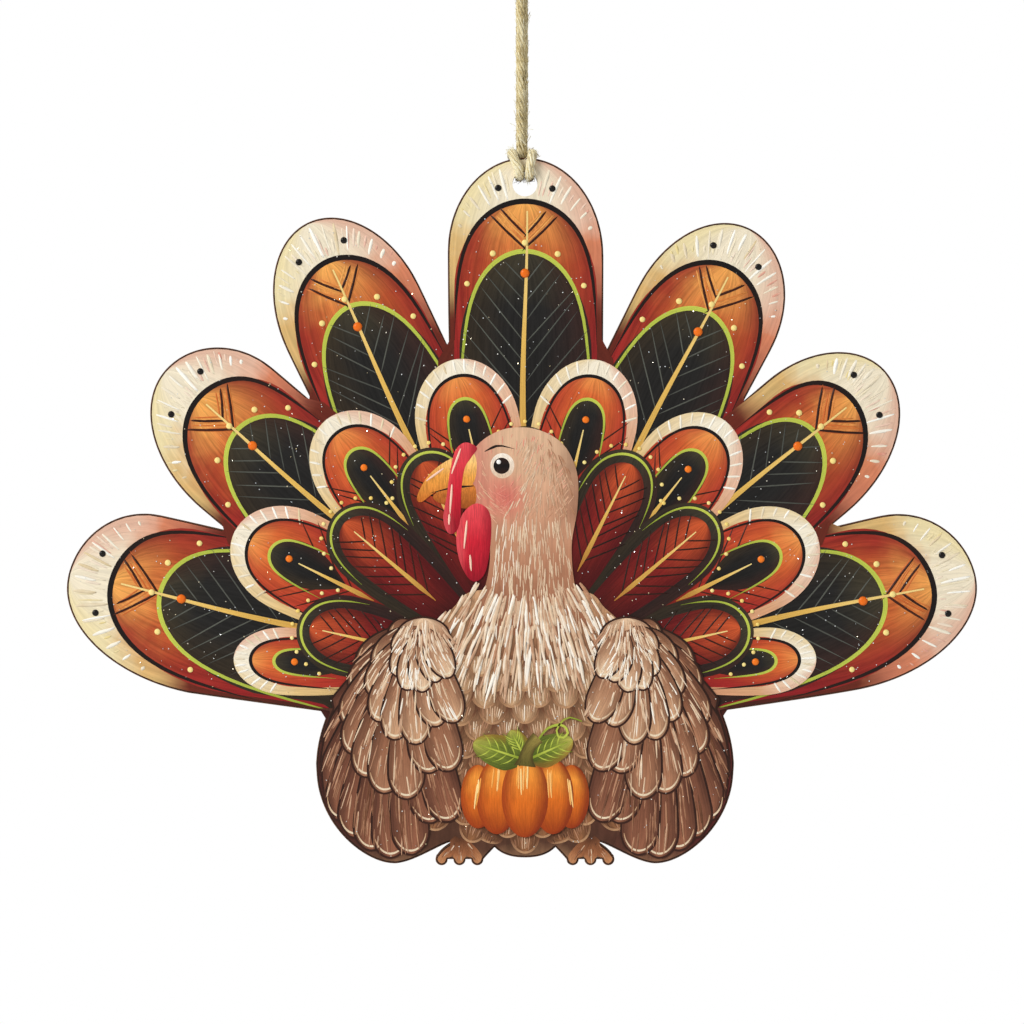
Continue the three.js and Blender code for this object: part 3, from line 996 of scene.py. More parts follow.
class Paint:
    """Gathers painted shapes into one mesh. Places are in millimetres from the fan's centre."""

    def __init__(self):
        self.verts, self.faces, self.uvs = [], [], []

    def slab(self, flat, uv, faces, rim, layer):
        """A flat net of faces, closed by a wall round its rim and by the same net underneath."""
        top, low = len(self.verts), len(self.verts) + len(flat)
        for y in (-(FACE + layer * LAYER), UNDER - FACE):
            self.verts += [(x * MM, y * MM, (z + FAN_Z) * MM) for x, z in flat]
            self.uvs += uv.tolist()
        for face in faces:
            self.faces.append(tuple(top + k for k in face))
            self.faces.append(tuple(low + k for k in face[::-1]))
        self.faces += [(top + a, low + a, low + b, top + b) for a, b in zip(rim, rim[1:] + rim[:1])]

    def ribbon(self, line, half, layer, columns=7, margin=None, wary=False):
        """A strip along a line. half is its half width at each point, or its two half widths, left
        and right. margin keeps it on the board, and wary keeps it out of the outline's corners."""
        line = np.array(line, float)
        half = np.maximum(np.array(half, float).reshape(len(line), -1), THIN_END)
        ahead = unit(np.gradient(line, axis=0))
        across = np.c_[ahead[:, 1], -ahead[:, 0]]
        length = travelled(line)
        u = np.linspace(-1, 1, columns)
        rows = len(line)
        if margin is not None:
            both = [[edge_gap(at, side * way, margin) for side in (-1, 1)] for at, way in zip(line, across)]
            gaps = np.array(both)
            half = np.minimum(half, gaps)
            if wary:
                half[1:] = np.minimum(half[1:], gaps[:-1])
                half[:-1] = np.minimum(half[:-1], gaps[1:])
        out = np.where(u < 0, half[:, :1], half[:, -1:]) * u
        flat = (line[:, None] + across[:, None] * out[:, :, None]).reshape(-1, 2)
        uv = np.stack(np.meshgrid((u + 1) / 2, length / length[-1]), axis=2).reshape(-1, 2)
        firsts = [i * columns + j for i in range(rows - 1) for j in range(columns - 1)]
        quads = [(a, a + 1, a + 1 + columns, a + columns) for a in firsts]
        rim = list(range(columns))
        rim += [i * columns + columns - 1 for i in range(1, rows)]
        rim += [(rows - 1) * columns + j for j in range(columns - 2, -1, -1)]
        rim += [i * columns for i in range(rows - 2, 0, -1)]
        self.slab(flat, uv, quads, rim, layer)

    def blob(self, corners, layer, smooth=6):
        """A filled shape with a smooth outline through its corners, smooth points for each."""
        p = np.array(corners, float)
        before, after, beyond = np.roll(p, 1, 0), np.roll(p, -1, 0), np.roll(p, -2, 0)
        loop = []
        for i in range(len(p)):
            loop += between(p[i], after[i], (after[i] - before[i]) / 2, (beyond[i] - p[i]) / 2, smooth)
        loop = turned_left(np.array(loop))
        uv = (loop - loop.min(0)) / np.ptp(loop, axis=0)
        self.slab(loop, uv, triangles(loop), list(range(len(loop))), layer)

    def build(self, name, material):
        """The gathered shapes as one piece that rides on the board."""
        mesh = bpy.data.meshes.new(name)
        mesh.from_pydata(self.verts, [], self.faces)
        layer = mesh.uv_layers.new(name="paint")
        corner = np.zeros(len(mesh.loops), np.int32)
        mesh.loops.foreach_get("vertex_index", corner)
        layer.data.foreach_set("uv", np.array(self.uvs, np.float32)[corner].ravel())
        face_out(mesh)
        return on_board(add_object(name, mesh, material))


print("paint: layers of", LAYER, "mm on a face at y", -FACE, "mm")

# %% [markdown]
# A feather's shape is three sizes: how far its tip is, how wide it is, and how long its round
# nose is. Every feather on the board is drawn from these, so one function gives its width at
# each station, and others lay lines round its nose and along its quill.

# %% Feather shapes
def placed(angle, across, along, root=(0.0, 0.0)):
    """Points given across and along a feather, on the board. The feather starts at root."""
    turn = math.radians(angle)
    x = root[0] + np.asarray(along) * math.sin(turn) + np.asarray(across) * math.cos(turn)
    z = root[1] + np.asarray(along) * math.cos(turn) - np.asarray(across) * math.sin(turn)
    return np.c_[x, z]


def shrunk(shape, tip, half, nose):
    """A shape within another: shorter, narrower, and with a shorter nose by these lengths."""
    return shape[0] - tip, np.subtract(shape[1], half), np.subtract(shape[2], nose)


def round_nose(shape, turn, inset=0.0):
    """Places round a shape's nose, turned from its tip, as distances across and along the feather."""
    tip, halves, noses = shape
    left = np.asarray(turn) < 0
    half = np.where(left, *np.broadcast_to(halves, 2)) - inset
    nose = np.where(left, *np.broadcast_to(noses, 2)) - inset
    return half * np.sin(turn), tip - inset - nose + nose * np.cos(turn)


def nose_place(angle, shape, turn, inset):
    """A place on the board, on or near a feather's nose."""
    return placed(angle, *round_nose(shape, turn, inset))[0]


def lobe(shape, start=0.0, root=0.5, steps=26):
    """A shape's stations along its axis and its half widths there: drawn-in root, round nose."""
    tip, halves, noses = shape
    along = start + (tip - start) * np.sin(np.linspace(0, math.pi / 2, steps))
    widths = []
    for half, nose in zip(np.broadcast_to(halves, 2), np.broadcast_to(noses, 2)):
        base = tip - nose
        swell = root + (1 - root) * np.sin(np.clip((along - start) / (base - start), 0, 1) * math.pi / 2)
        past = np.clip((along - base) / nose, 0, 1)
        widths.append(half * swell * np.sqrt(1 - past**2))
    return along, np.array(widths).T


print("the middle feather has", len(lobe(FEATHERS[3][1])[0]), "stations")

# %% Painted feathers
LINE_END = 0.18


def add_lobe(paint, angle, shape, layer, root=(0.0, 0.0), columns=7, margin=None):
    along, half = shape
    paint.ribbon(placed(angle, np.zeros_like(along), along, root), half, layer, columns, margin)


def add_rim(paint, angle, shape, layer, width, tail, sweep=1.5):
    """A line round a feather's nose that thins towards its ends."""
    turn = np.linspace(-sweep, sweep, 36)
    across, along = round_nose(shape, turn)
    along = along - tail * np.abs(turn / sweep) ** 6
    taper = np.clip((sweep - np.abs(turn)) / LINE_END, 0.1, 1.0)
    half = width * (0.3 + 0.7 * np.cos(turn * 0.95)) * taper
    paint.ribbon(placed(angle, across, along), half, layer, 3)


def add_quill(paint, angle, along, bow, width, layer):
    """A feather's quill: a thin line, widest near its foot."""
    swell = np.interp(np.linspace(0, 1, len(along)), [0, 0.2, 1], [0.15, 1, 0.2])
    paint.ribbon(placed(angle, bow, along), width * swell, layer, 3)


print("a line round a nose thins over its last", LINE_END, "radians")

# %% [markdown]
# Short brush marks repeat hundreds of times, so Geometry Nodes set them. Each point says where
# its mark starts, which way it goes, how long and wide it is, and its tone. A mark is a
# flattened tube that swells and tapers, as a loaded brush leaves it.

# %% A tree for brush marks
MARK_DEPTH = 0.016 * MM


def tapered_mark(t):
    """One unit brush mark that starts at the origin and goes up."""
    bent = t.node("ShaderNodeCombineXYZ", X=t.inputs["Bend"], Z=0.55)
    line = t.node("CurveQuadraticBezier", Resolution=8, Start=(0, 0, 0), Middle=bent, End=(0, 0, 1))
    taper = t.node("ShaderNodeFloatCurve", Value=t.node("SplineParameter").outputs["Factor"])
    profile = taper.mapping.curves[0]
    profile.points[0].location = (0, 0.25)
    profile.points[1].location = (1, 0.04)
    profile.points.new(0.35, 1.0)
    taper.mapping.update()
    ring = t.node("CurvePrimitiveCircle", Resolution=6, Radius=0.5)
    return t.node("SetShadeSmooth", t.tube(line, ring, Scale=taper))


def marks_tree():
    """Points in, brush marks out."""
    t = Tree("brush_marks", Bend=0.6)
    turn = t.node("ShaderNodeCombineXYZ", Y=t.named("aim"))
    size = t.node("ShaderNodeCombineXYZ", t.named("width"), MARK_DEPTH, t.named("length"))
    return t.finish(t.copies(t.inputs["Geometry"], tapered_mark(t), turn, size))


MARKS = marks_tree()
print("brush marks:", len(MARKS.nodes), "nodes")

# %% Gather marks
class Marks:
    """Gathers points for brush marks or dots. Places are in millimetres from the fan's centre."""

    def __init__(self, seed):
        self.rows = []
        self.random = np.random.default_rng(seed)

    def near(self, value, spread):
        """A value with a random part."""
        return value + spread * (2 * self.random.random() - 1)

    def add(self, place, aim, length, width, tone, layer):
        """One mark. A pair instead of a value is the value and how far it may stray."""
        values = [self.near(*v) if isinstance(v, tuple) else v for v in (aim, length, width, tone)]
        aim, length, width, tone = values
        x, z = place
        y = -(FACE + layer * LAYER) * MM
        self.rows.append((x * MM, y, (z + FAN_Z) * MM, math.radians(aim), length * MM, width * MM, tone))

    def dot(self, place, radius, tone, layer):
        self.add(place, 0, 0, radius, tone, layer)

    def build(self, name, material, group=MARKS, **values):
        data = np.array(self.rows)
        mesh = bpy.data.meshes.new(name + "_points")
        mesh.from_pydata(data[:, :3].tolist(), [], [])
        for column, key in enumerate(("aim", "length", "width", "tone"), 3):
            mesh.attributes.new(key, "FLOAT", "POINT").data.foreach_set("value", data[:, column].copy())
        carrier = add_object(name + "_points", mesh)
        return on_board(applied(carrier, group, {**values, "Material": material}, name))


print("a value of 1 strays to", round(Marks(31).near(1.0, 0.5), 2))

# %% [markdown]
# Every paint has the same make. A colour runs along the shape, another is worked in from its
# sides, and streaks follow the brush. The coat over it is satin, with the fine orange peel of
# a varnish rolled on. One function makes them all, so that they look mixed by one hand.

# %% Paint for shapes
STREAK_SCALE = (14.0, 1.6, 1.0)
SATIN = 0.42
SHEEN = 0.18


def varnish(m, height=None):
    """A satin coat with fine grain."""
    grain = m.noise(m.place(), 2400.0, 2.0, 0.6)
    m.bump(grain if height is None else m.plus(grain, height), 0.16, 0.06 * MM)


def brushed(name, stops, sides=None, side_share=0.7, streak=0.35, side_from=0.0, spot=None):
    """Paint that is shaded along a ribbon, tinted at its two sides past side_from, and streaked.

    spot is a soft patch of another colour: its place, radius and colour.
    """
    m = Mat(name, SATIN, SHEEN)
    u, v, _ = m.node("SeparateXYZ", m.node("UVMap")).outputs
    place = m.place()
    cloud = m.minus(m.noise(place, 170.0, 3.0), 0.5)
    colour = m.ramp(m.plus(v, m.times(cloud, 0.22)), stops)
    if sides:
        out = m.plus(m.times(m.minus(u, 0.5), 2.0), m.times(cloud, 0.5))
        share = m.span(v, side_from - 0.12, side_from, 0.0, side_share) if side_from else side_share
        for side, tint in zip((-1, 1), sides):
            colour = m.mix(m.times(m.span(out, side * 0.25, side * 1.0), share), colour, tint)
    if spot:
        (x, z), radius, tint = spot
        centre = (x * MM, FACE_Y, (z + FAN_Z) * MM)
        away = m.node("VectorMath", place, centre, operation="DISTANCE").outputs["Value"]
        soft = m.plus(away, m.times(cloud, 1.5 * MM))
        colour = m.mix(m.times(m.span(soft, radius * MM, 0.0), 0.75), colour, tint)
    lines = m.noise(m.stretch(m.node("CombineXYZ", u, v), STREAK_SCALE), 3.0, 4.0, 0.65, 0.6)
    light = m.span(lines, 0.25, 0.75, 1 - streak, 1 + streak)
    m.colour(m.mix(1.0, colour, m.node("CombineColor", light, light, light), "MULTIPLY"))
    varnish(m, lines)
    return m.material


def graded(deep, middle, pale=None, at=0.5):
    """Stops from one colour through another and on, or back to the first."""
    return [(0.0, deep), (at, middle), (1.0, pale or deep)]


INK = brushed("ink_paint", graded((44, 26, 20), (24, 20, 20)))
OLIVE = brushed("olive_paint", graded((132, 150, 44), (196, 206, 84)))
GOLD = brushed("gold_paint", graded((170, 112, 44), (228, 184, 92), (240, 214, 140), 0.6))
print("one paint has", len(GOLD.node_tree.nodes), "nodes")

# %% Paint for marks
def toned(name, stops, rough=SATIN):
    """Paint whose colour follows the mark's tone."""
    m = Mat(name, rough, SHEEN)
    cloud = m.minus(m.noise(m.place(), 900.0, 2.0), 0.5)
    m.colour(m.ramp(m.plus(m.attribute("tone"), m.times(cloud, 0.25)), stops))
    varnish(m)
    return m.material


def tones(deep, pale):
    return [(0.1, deep), (0.9, pale)]


BARB = toned("barb_paint", tones((38, 20, 15), (84, 40, 24)))
WISP = toned("wisp_paint", [(0.1, (216, 190, 140)), (0.5, (244, 236, 216)), (0.9, (255, 252, 242))])
print("paints:", sum(m.name.endswith("_paint") for m in bpy.data.materials))

# %% [markdown]
# The printed coat is the ground for it all: a warm dark brown that shows as the line round
# each feather. It is a layer of the board like the plies, so the same function cuts it.

# %% Ground coat
GROUND = brushed("ground_paint", [(0.0, (30, 20, 17)), (1.0, (58, 34, 26))])
plate("front_coat", "front_print", (GROUND, FACE_EDGE, GROUND), round_front=EDGE_ROUND)

# %% [markdown]
# Each tail feather has a cream tip, a rust vane inside it, and a black heart with an olive
# line. One shape with every band in its material would be shorter, but it would lie flat.
# Each band is its own layer, as a brush lays it, and every other feather lies over its
# neighbours.

# %% Tail paints
VANE = brushed(
    "vane_paint",
    [(0.0, (40, 22, 18)), (0.6, (104, 40, 28)), (0.76, (206, 130, 84)), (0.86, (238, 226, 200))],
    ((234, 214, 140), (212, 128, 104)),
    side_share=0.55,
    streak=0.14,
    side_from=0.7,
)
RUST = brushed(
    "rust_paint",
    [(0.0, (66, 15, 17)), (0.5, (136, 40, 31)), (0.8, (192, 92, 46)), (1.0, (236, 166, 86))],
    ((146, 32, 34), (132, 26, 32)),
    side_share=0.85,
    streak=0.28,
)
DARK = brushed(
    "black_paint",
    graded((20, 18, 18), (33, 32, 31), (62, 56, 42), 0.8),
    ((60, 48, 32), (60, 34, 28)),
    side_share=0.6,
    streak=0.3,
)
print("tail paints:", VANE.name, RUST.name, DARK.name)

# %% Tail feathers
RIM = 0.26
FAN_START = 20.0
TIP_BAND = 6.7
SIDE_BAND = 1.0
OVERLAP = 9
# How much shorter and narrower each shape is than its feather, and how much shorter its nose
CREAM_INSET = (RIM, -1.5, RIM)
RUST_INSET = (TIP_BAND, SIDE_BAND, 1.0)
HEART_INSET = (14.4, 1.8, -1.0)
QUILL_END = 8.2
vanes, crown, rusts, hearts, inks, olives, golds = (Paint() for _ in range(7))
tail = []
for order, (angle, shape) in enumerate(FEATHERS):
    base = OVERLAP if order % 2 else 0
    cream, rust, heart = (shrunk(shape, *inset) for inset in (CREAM_INSET, RUST_INSET, HEART_INSET))
    tail.append((angle, shape, rust, heart, base))
    tip = crown if abs(angle) < 5 else vanes
    add_lobe(tip, angle, lobe(cream, FAN_START, 1.0), base + 1, columns=9, margin=RIM)
    add_lobe(rusts, angle, lobe(rust, FAN_START, 1.0), base + 2, columns=9, margin=3 * RIM)
    add_rim(inks, angle, rust, base + 3, 0.42, tail=9)
    add_lobe(hearts, angle, lobe(heart, FAN_START, 1.0), base + 3, margin=5 * RIM)
    add_rim(olives, angle, heart, base + 4, 0.36, tail=16)
    quill = np.linspace(FAN_START, shape[0] - QUILL_END, 24)
    add_quill(golds, angle, quill, 0.35 * np.sin(quill / 9.0), 0.58, base + 5)

vanes.build("tail_tips", VANE)
print("tail:", len(tail), "feathers")

# %% [markdown]
# The hole for the twine goes through the crown feather's tip, so its paint is opened there.
# The ribbon could be split round the hole, but here a boolean is simpler: one clean round cut
# through one thin piece.

# %% Open the hole
HOLE = np.array([0, HOLE_Z - FAN_Z])
HOLE_RADIUS = float(np.linalg.norm(INNER - (0, HOLE_Z), axis=1).mean())


def open_hole(piece):
    """Cuts the hole for the twine out of a painted piece."""
    made = bmesh.new()
    radius = HOLE_RADIUS * MM
    bmesh.ops.create_cone(made, cap_ends=True, segments=64, radius1=radius, radius2=radius, depth=9 * MM)
    bmesh.ops.rotate(made, verts=made.verts, matrix=Matrix.Rotation(math.pi / 2, 3, "X"))
    bmesh.ops.translate(made, verts=made.verts, vec=(0, 0, HOLE_Z * MM))
    mesh = bpy.data.meshes.new("drill")
    made.to_mesh(mesh)
    made.free()
    drill = add_object("drill", mesh)
    cut = piece.modifiers.new("hole", "BOOLEAN")
    cut.object = drill
    cut.solver = "EXACT"
    mesh = result(piece)
    piece.modifiers.clear()
    piece.data = mesh
    bpy.data.objects.remove(drill)
    print("hole cut out of", piece.name, len(mesh.polygons), "faces")


open_hole(crown.build("crown_tip", VANE))
rusts.build("tail_vanes", RUST)
hearts.build("tail_hearts", DARK)
inks.build("tail_outlines", INK)
olives.build("tail_olive_lines", OLIVE)
golds.build("tail_quills", GOLD)

# %% [markdown]
# Barbs leave a feather's quill on both sides, lean to its tip and stop short of the vane's
# edge. Hair particles could grow there, but they wouldn't know where to stop. So each barb's
# reach is worked out from the shape it lies on.

# %% Barbs and veins
BARB_PITCH = 2.2
VEIN_PITCH = 3.1
barbs_left, barbs_right, veins = Marks(31), Marks(32), Marks(33)


def inside_reach(along, shape, lean, side):
    """How far a mark can go from a quill at a lean before it meets the shape's side."""
    tip, halves, noses = shape
    half, nose = (np.broadcast_to(pair, 2)[int(side > 0)] for pair in (halves, noses))
    steps = np.arange(0.3, 16, 0.1)
    across = steps * math.sin(math.radians(lean))
    past = np.maximum(along + steps * math.cos(math.radians(lean)) - (tip - nose), 0) / nose
    out = (across / half) ** 2 + past**2 > 1
    return float(steps[out.argmax()]) if out.any() else float(steps[-1])


def barb_pair(pair, angle, along, shape, short, width, tone, layer, lean=42, longest=16.0):
    """Two marks that leave a feather's quill to both sides and stop short of the shape's edge."""
    for side, marks in zip((-1, 1), pair):
        at = placed(angle, side * 0.25, marks.near(along, 0.2))[0]
        aim = angle + side * marks.near(lean, 4)
        reach = min(inside_reach(along, shape, lean, side) - short, longest)
        marks.add(at, aim, (reach, 0.5), width, (tone, 0.15), layer)


for angle, _, rust, heart, base in tail:
    for along in np.arange(heart[0] + 0.8, rust[0] - 3.4, BARB_PITCH):
        barb_pair((barbs_left, barbs_right), angle, along, rust, 1.3, 0.4, 0.4, base + 4)
    for along in np.arange(30, heart[0] - 2.5, VEIN_PITCH):
        barb_pair((veins, veins), angle, along, heart, 0.6, 0.22, 0.4, base + 4, 40)

VEIN = toned("vein_paint", tones((62, 64, 60), (104, 106, 96)))
barbs_left.build("tail_barbs_left", BARB, Bend=-1.2)
barbs_right.build("tail_barbs_right", BARB, Bend=1.2)
veins.build("tail_veins", VEIN, Bend=0.0)
print("tail:", 2 * len(barbs_left.rows), "barbs and", len(veins.rows), "veins")

# %% [markdown]
# Pale wisps run in from the rim of each cream tip, and a blush of thin strokes goes from
# yellow on one side to pink on the other. A gradient could do the blush, but strokes keep the
# hand of the brush. A mark that would cross the hole is left out.

# %% Wisps and blush on the tips
wisps, blush = Marks(34), Marks(38)


def tip_band(turn):
    """How wide a feather's cream band is, at a turn from its tip."""
    return TIP_BAND * math.cos(turn) ** 2 + SIDE_BAND * math.sin(turn) ** 2


def clear_of_hole(place, aim, length):
    """Whether a mark stays off the hole for the twine."""
    line = placed(aim, 0.0, np.linspace(0, length, 6), place)
    return np.linalg.norm(line - HOLE, axis=1).min() > HOLE_RADIUS + 0.5


for angle, shape, _, _, base in tail:
    for step in np.linspace(-1.25, 1.25, 15):
        at = nose_place(angle, shape, step, 1.15)
        aim = angle + 180 + math.degrees(step) * 0.75
        size = min(wisps.near(3.6, 1.2), tip_band(step) - 0.9)
        if clear_of_hole(at, aim, size):
            wisps.add(at, aim, size, (0.5, 0.2), (0.6, 0.4), base + 2)
    for step in np.linspace(-1.4, 1.4, 34):
        band = tip_band(step)
        depth = blush.near(0.45, 0.3) * band
        size = min(blush.near(3.2, 1.0), 0.9 * (band - depth) - 0.5)
        at = nose_place(angle, shape, step, depth)
        aim = angle + 180 + math.degrees(step) * 0.7
        tone = blush.near(0.5 + 0.34 * math.sin(step), 0.16)
        if size > 0.7 and clear_of_hole(at, aim, size):
            blush.add(at, aim, size, (0.4, 0.14), tone, base + 1.6)

BLUSH = toned(
    "blush_paint",
    [(0.05, (232, 210, 132)), (0.4, (240, 228, 200)), (0.6, (240, 222, 200)), (0.95, (216, 132, 110))],
)
wisps.build("tail_wisps", WISP, Bend=0.4)
blush.build("tail_blush", BLUSH, Bend=0.4)
print("tips:", len(wisps.rows), "wisps and", len(blush.rows), "strokes of blush")

# %% [markdown]
# A rust vane turns orange where it meets the tip. Fine strokes between the barbs carry that
# glow, each a little paler than the one before, so it isn't one smooth band. Raised dots of
# thick paint finish the feather. They are gathered here and built at the end, with the rest.

# %% Glow on the vanes
GLOW_PITCH = 0.8
glow_left, glow_right = Marks(39), Marks(40)
for angle, _, rust, heart, base in tail:
    for along in np.arange(heart[0] + 0.5, rust[0] - 3.2, GLOW_PITCH):
        tone = (along - 40) / 34
        barb_pair((glow_left, glow_right), angle, along, rust, 1.7, 0.26, tone, base + 3, longest=7.5)

GLOW = toned("glow_paint", graded((150, 44, 30), (208, 108, 50), (240, 176, 92)))
glow_left.build("tail_glow_left", GLOW, Bend=-1.2)
glow_right.build("tail_glow_right", GLOW, Bend=1.2)
print("glow:", 2 * len(glow_left.rows), "strokes")

# %% Dots on the tail
pale_dots, black_dots, orange_dots = Marks(35), Marks(36), Marks(37)
for angle, shape, _, heart, base in tail:
    for step in (-0.9, -0.45, 0, 0.45, 0.9):
        at = nose_place(angle, heart, step, -1.3)
        pale_dots.dot(at, 0.36 + 0.14 * math.cos(step), 0.6, base + 6)
    for step in (-0.5, 0.5):
        black_dots.dot(nose_place(angle, shape, step, 3.3), 0.52, 0.4, base + 3)
    orange_dots.dot(placed(angle, 0, heart[0] - 3.4)[0], 0.72, 0.5, base + 6)
print("dots on the tail:", len(pale_dots.rows) + len(black_dots.rows) + len(orange_dots.rows))

# %% [markdown]
# A second row of feathers stands in the gaps of the first, with one more at each side. Each
# has a cream border, a red vane, and a dark eye with an orange dot. Their places could be
# typed in, but half-way between two tail feathers always fits, whatever the outline.

# %% Second row
ROW_TWO = 20
SIDE_ANGLE = 86.5
GAP_SHAPE = (50.0, 8.0, 10.0)
SIDE_SHAPE = (45.0, 5.2, 8.0)
RED_INSET = (2.6, 1.35, 1.2)
borders, reds, eyes, row_inks, row_olives, row_golds = (Paint() for _ in range(6))
row_barbs, row_wisps = (Marks(41), Marks(42)), Marks(43)

angles = [feather[0] for feather in FEATHERS]
second = [((a + b) / 2, GAP_SHAPE) for a, b in zip(angles, angles[1:])]
second += [(side * SIDE_ANGLE, SIDE_SHAPE) for side in (-1, 1)]
for order, (angle, shape) in enumerate(second):
    level = ROW_TWO + 0.4 * (order % 2)
    length, half, nose = shape
    red, eye = shrunk(shape, *RED_INSET), (length - 6.2, 0.42 * half, 0.5 * nose)
    add_lobe(borders, angle, lobe(shape, FAN_START, 0.6), level)
    add_lobe(reds, angle, lobe(red, FAN_START, 0.6), level + 1)
    add_rim(row_inks, angle, red, level + 2, 0.26, tail=9)
    add_lobe(eyes, angle, lobe(eye, length - 19, 0.1), level + 2)
    add_rim(row_olives, angle, eye, level + 3, 0.24, tail=6)
    if abs(angle) < SIDE_ANGLE - 1:
        stem = np.linspace(26, length - 11, 12)
        add_quill(row_golds, angle, stem, 0 * stem, 0.4, level + 4)
    orange_dots.dot(placed(angle, 0, length - 9.4)[0], 0.55, 0.7, level + 4)
    for along in np.arange(30, length - 15, 2.4):
        barb_pair(row_barbs, angle, along, red, 0.7, 0.3, 0.4, level + 0.5, 40, 8.5)
    for step in np.linspace(-1.3, 1.3, 13):
        at = nose_place(angle, shape, step, 0.15)
        row_wisps.add(at, angle + 180 + math.degrees(step) * 0.8, (1.9, 0.5), 0.4, (0.6, 0.4), level + 1)
print("second row:", len(second), "feathers")

# %% Second row's paint
BORDER = brushed(
    "border_paint",
    [(0.0, (120, 70, 44)), (0.6, (214, 178, 130)), (0.85, (242, 232, 210))],
    ((228, 196, 128), (220, 150, 118)),
    side_share=0.6,
    streak=0.15,
)
RED = brushed(
    "red_paint",
    [(0.0, (74, 18, 18)), (0.5, (168, 48, 34)), (0.85, (214, 104, 50)), (1.0, (230, 146, 76))],
    ((176, 54, 40), (152, 34, 36)),
    side_share=0.75,
    streak=0.25,
)
borders.build("row_two_borders", BORDER)
reds.build("row_two_vanes", RED)
eyes.build("row_two_eyes", DARK)
row_inks.build("row_two_outlines", INK)

# %% [markdown]
# A third, shorter row lies over the first row's quills: a black feather with a maroon heart,
# and small dots set round each tip. It is made the way the second is, with other sizes.
# The olive lines, quills, barbs and wisps of both rows are built together.

# %% Third row
ROW_THREE = 28
ROW_START = 14
EMBER_INSET = (2.0, 2.0, 1.6)
OLIVE_INSET = (0.7, 0.7, 0.6)
darks, embers = Paint(), Paint()
third = [(angle, (38.5 if abs(angle) < 60 else 36.0, 6.2, 7.6)) for angle in angles]
for order, (angle, shape) in enumerate(third):
    level = ROW_THREE + 0.4 * (order % 2)
    length, inner = shape[0], shrunk(shape, *EMBER_INSET)
    add_lobe(darks, angle, lobe(shape, ROW_START, 0.6), level)
    add_lobe(embers, angle, lobe(inner, ROW_START, 0.6), level + 1)
    add_rim(row_olives, angle, shrunk(shape, *OLIVE_INSET), level + 1, 0.2, tail=3)
    stem = np.linspace(18, length - 4, 12)
    add_quill(row_golds, angle, stem, 0 * stem, 0.38, level + 3)
    for along in np.arange(20, length - 5, 2.1):
        barb_pair(row_barbs, angle, along, inner, 0.4, 0.26, 0.2, level + 2, 38, 6.0)
    for step in np.linspace(-1.25, 1.25, 9):
        pale_dots.dot(nose_place(angle, shape, step, -0.75), 0.31, (0.5, 0.3), level + 1)
print("third row:", len(third), "feathers")

# %% Third row's paint
MAROON = brushed(
    "maroon_paint",
    graded((50, 14, 14), (128, 32, 28), (196, 84, 44), 0.55),
    ((84, 18, 20), (74, 14, 18)),
    side_share=0.8,
    streak=0.28,
)
darks.build("row_three_vanes", DARK)
embers.build("row_three_hearts", MAROON)
row_olives.build("row_olive_lines", OLIVE)
row_golds.build("row_quills", GOLD)
row_barbs[0].build("row_barbs_left", BARB, Bend=-1.0)
row_barbs[1].build("row_barbs_right", BARB, Bend=1.0)
row_wisps.build("row_wisps", WISP, Bend=0.3)
print("rows:", 2 * len(row_barbs[0].rows), "barbs and", len(row_wisps.rows), "wisps")

# %% [markdown]
# The body's ground follows the outline, a little way in, so that no bare board shows between
# its feathers. An ellipse would be simpler to draw, but it would miss the feet.

# %% Body ground
BODY = 35
BODY_TOP = 4.0
BODY_HALF = 33
BODY_RIM = 0.3
body = Paint()
lower = board_edge(BODY_RIM)
lower = lower[(lower[:, 1] < BODY_TOP) & (np.abs(lower[:, 0]) < BODY_HALF)]
start = int(np.linalg.norm(lower - np.roll(lower, 1, axis=0), axis=1).argmax())
body.blob(np.roll(lower, -start, axis=0), BODY, smooth=1)
PLUME = brushed(
    "plumage_paint",
    [(0.0, (150, 112, 82)), (0.12, (84, 54, 40)), (0.5, (72, 44, 32)), (1.0, (120, 84, 60))],
    ((70, 32, 28), (84, 30, 30)),
    side_share=0.8,
    streak=0.25,
)
body.build("body_ground", PLUME)

# %% [markdown]
# The breast is rows of small rounded feathers, pale at the collar and brown below. Lower rows
# go on first, so each row overlaps the one under it. A texture of scales could stand for them,
# but real overlaps keep their shadow lines. A feather that would leave the body is shortened.

# %% Breast feathers
BREAST = 36
SCALE_LENGTH = 6.0
SCALE_HALF = 2.35
SCALE_PITCH = 4.2
ROW_PITCH = 2.5
SHADES = 5
SCALE_INSET = (0.35, 0.26, 0.15)
NOSE_TURN = np.linspace(-1.5, 1.5, 9)
HEM = board_edge(BODY_RIM + 0.15)
# The breast's half width at a height: first the heights, then the half widths
BREAST_PROFILE = ([-27, -25, -22, -18, -3, 2, 7, 12, 17], [3.5, 6.5, 11.5, 15.5, 20, 17, 12.5, 9, 6])


def scale_shape(reach):
    """A small breast feather's shape."""
    return reach, SCALE_HALF, 0.5 * reach


def on_body(angle, reach, root):
    """Whether a small feather's nose stays within the body's hem."""
    return inside_loop(placed(angle, *round_nose(scale_shape(reach), NOSE_TURN), root), HEM).all()


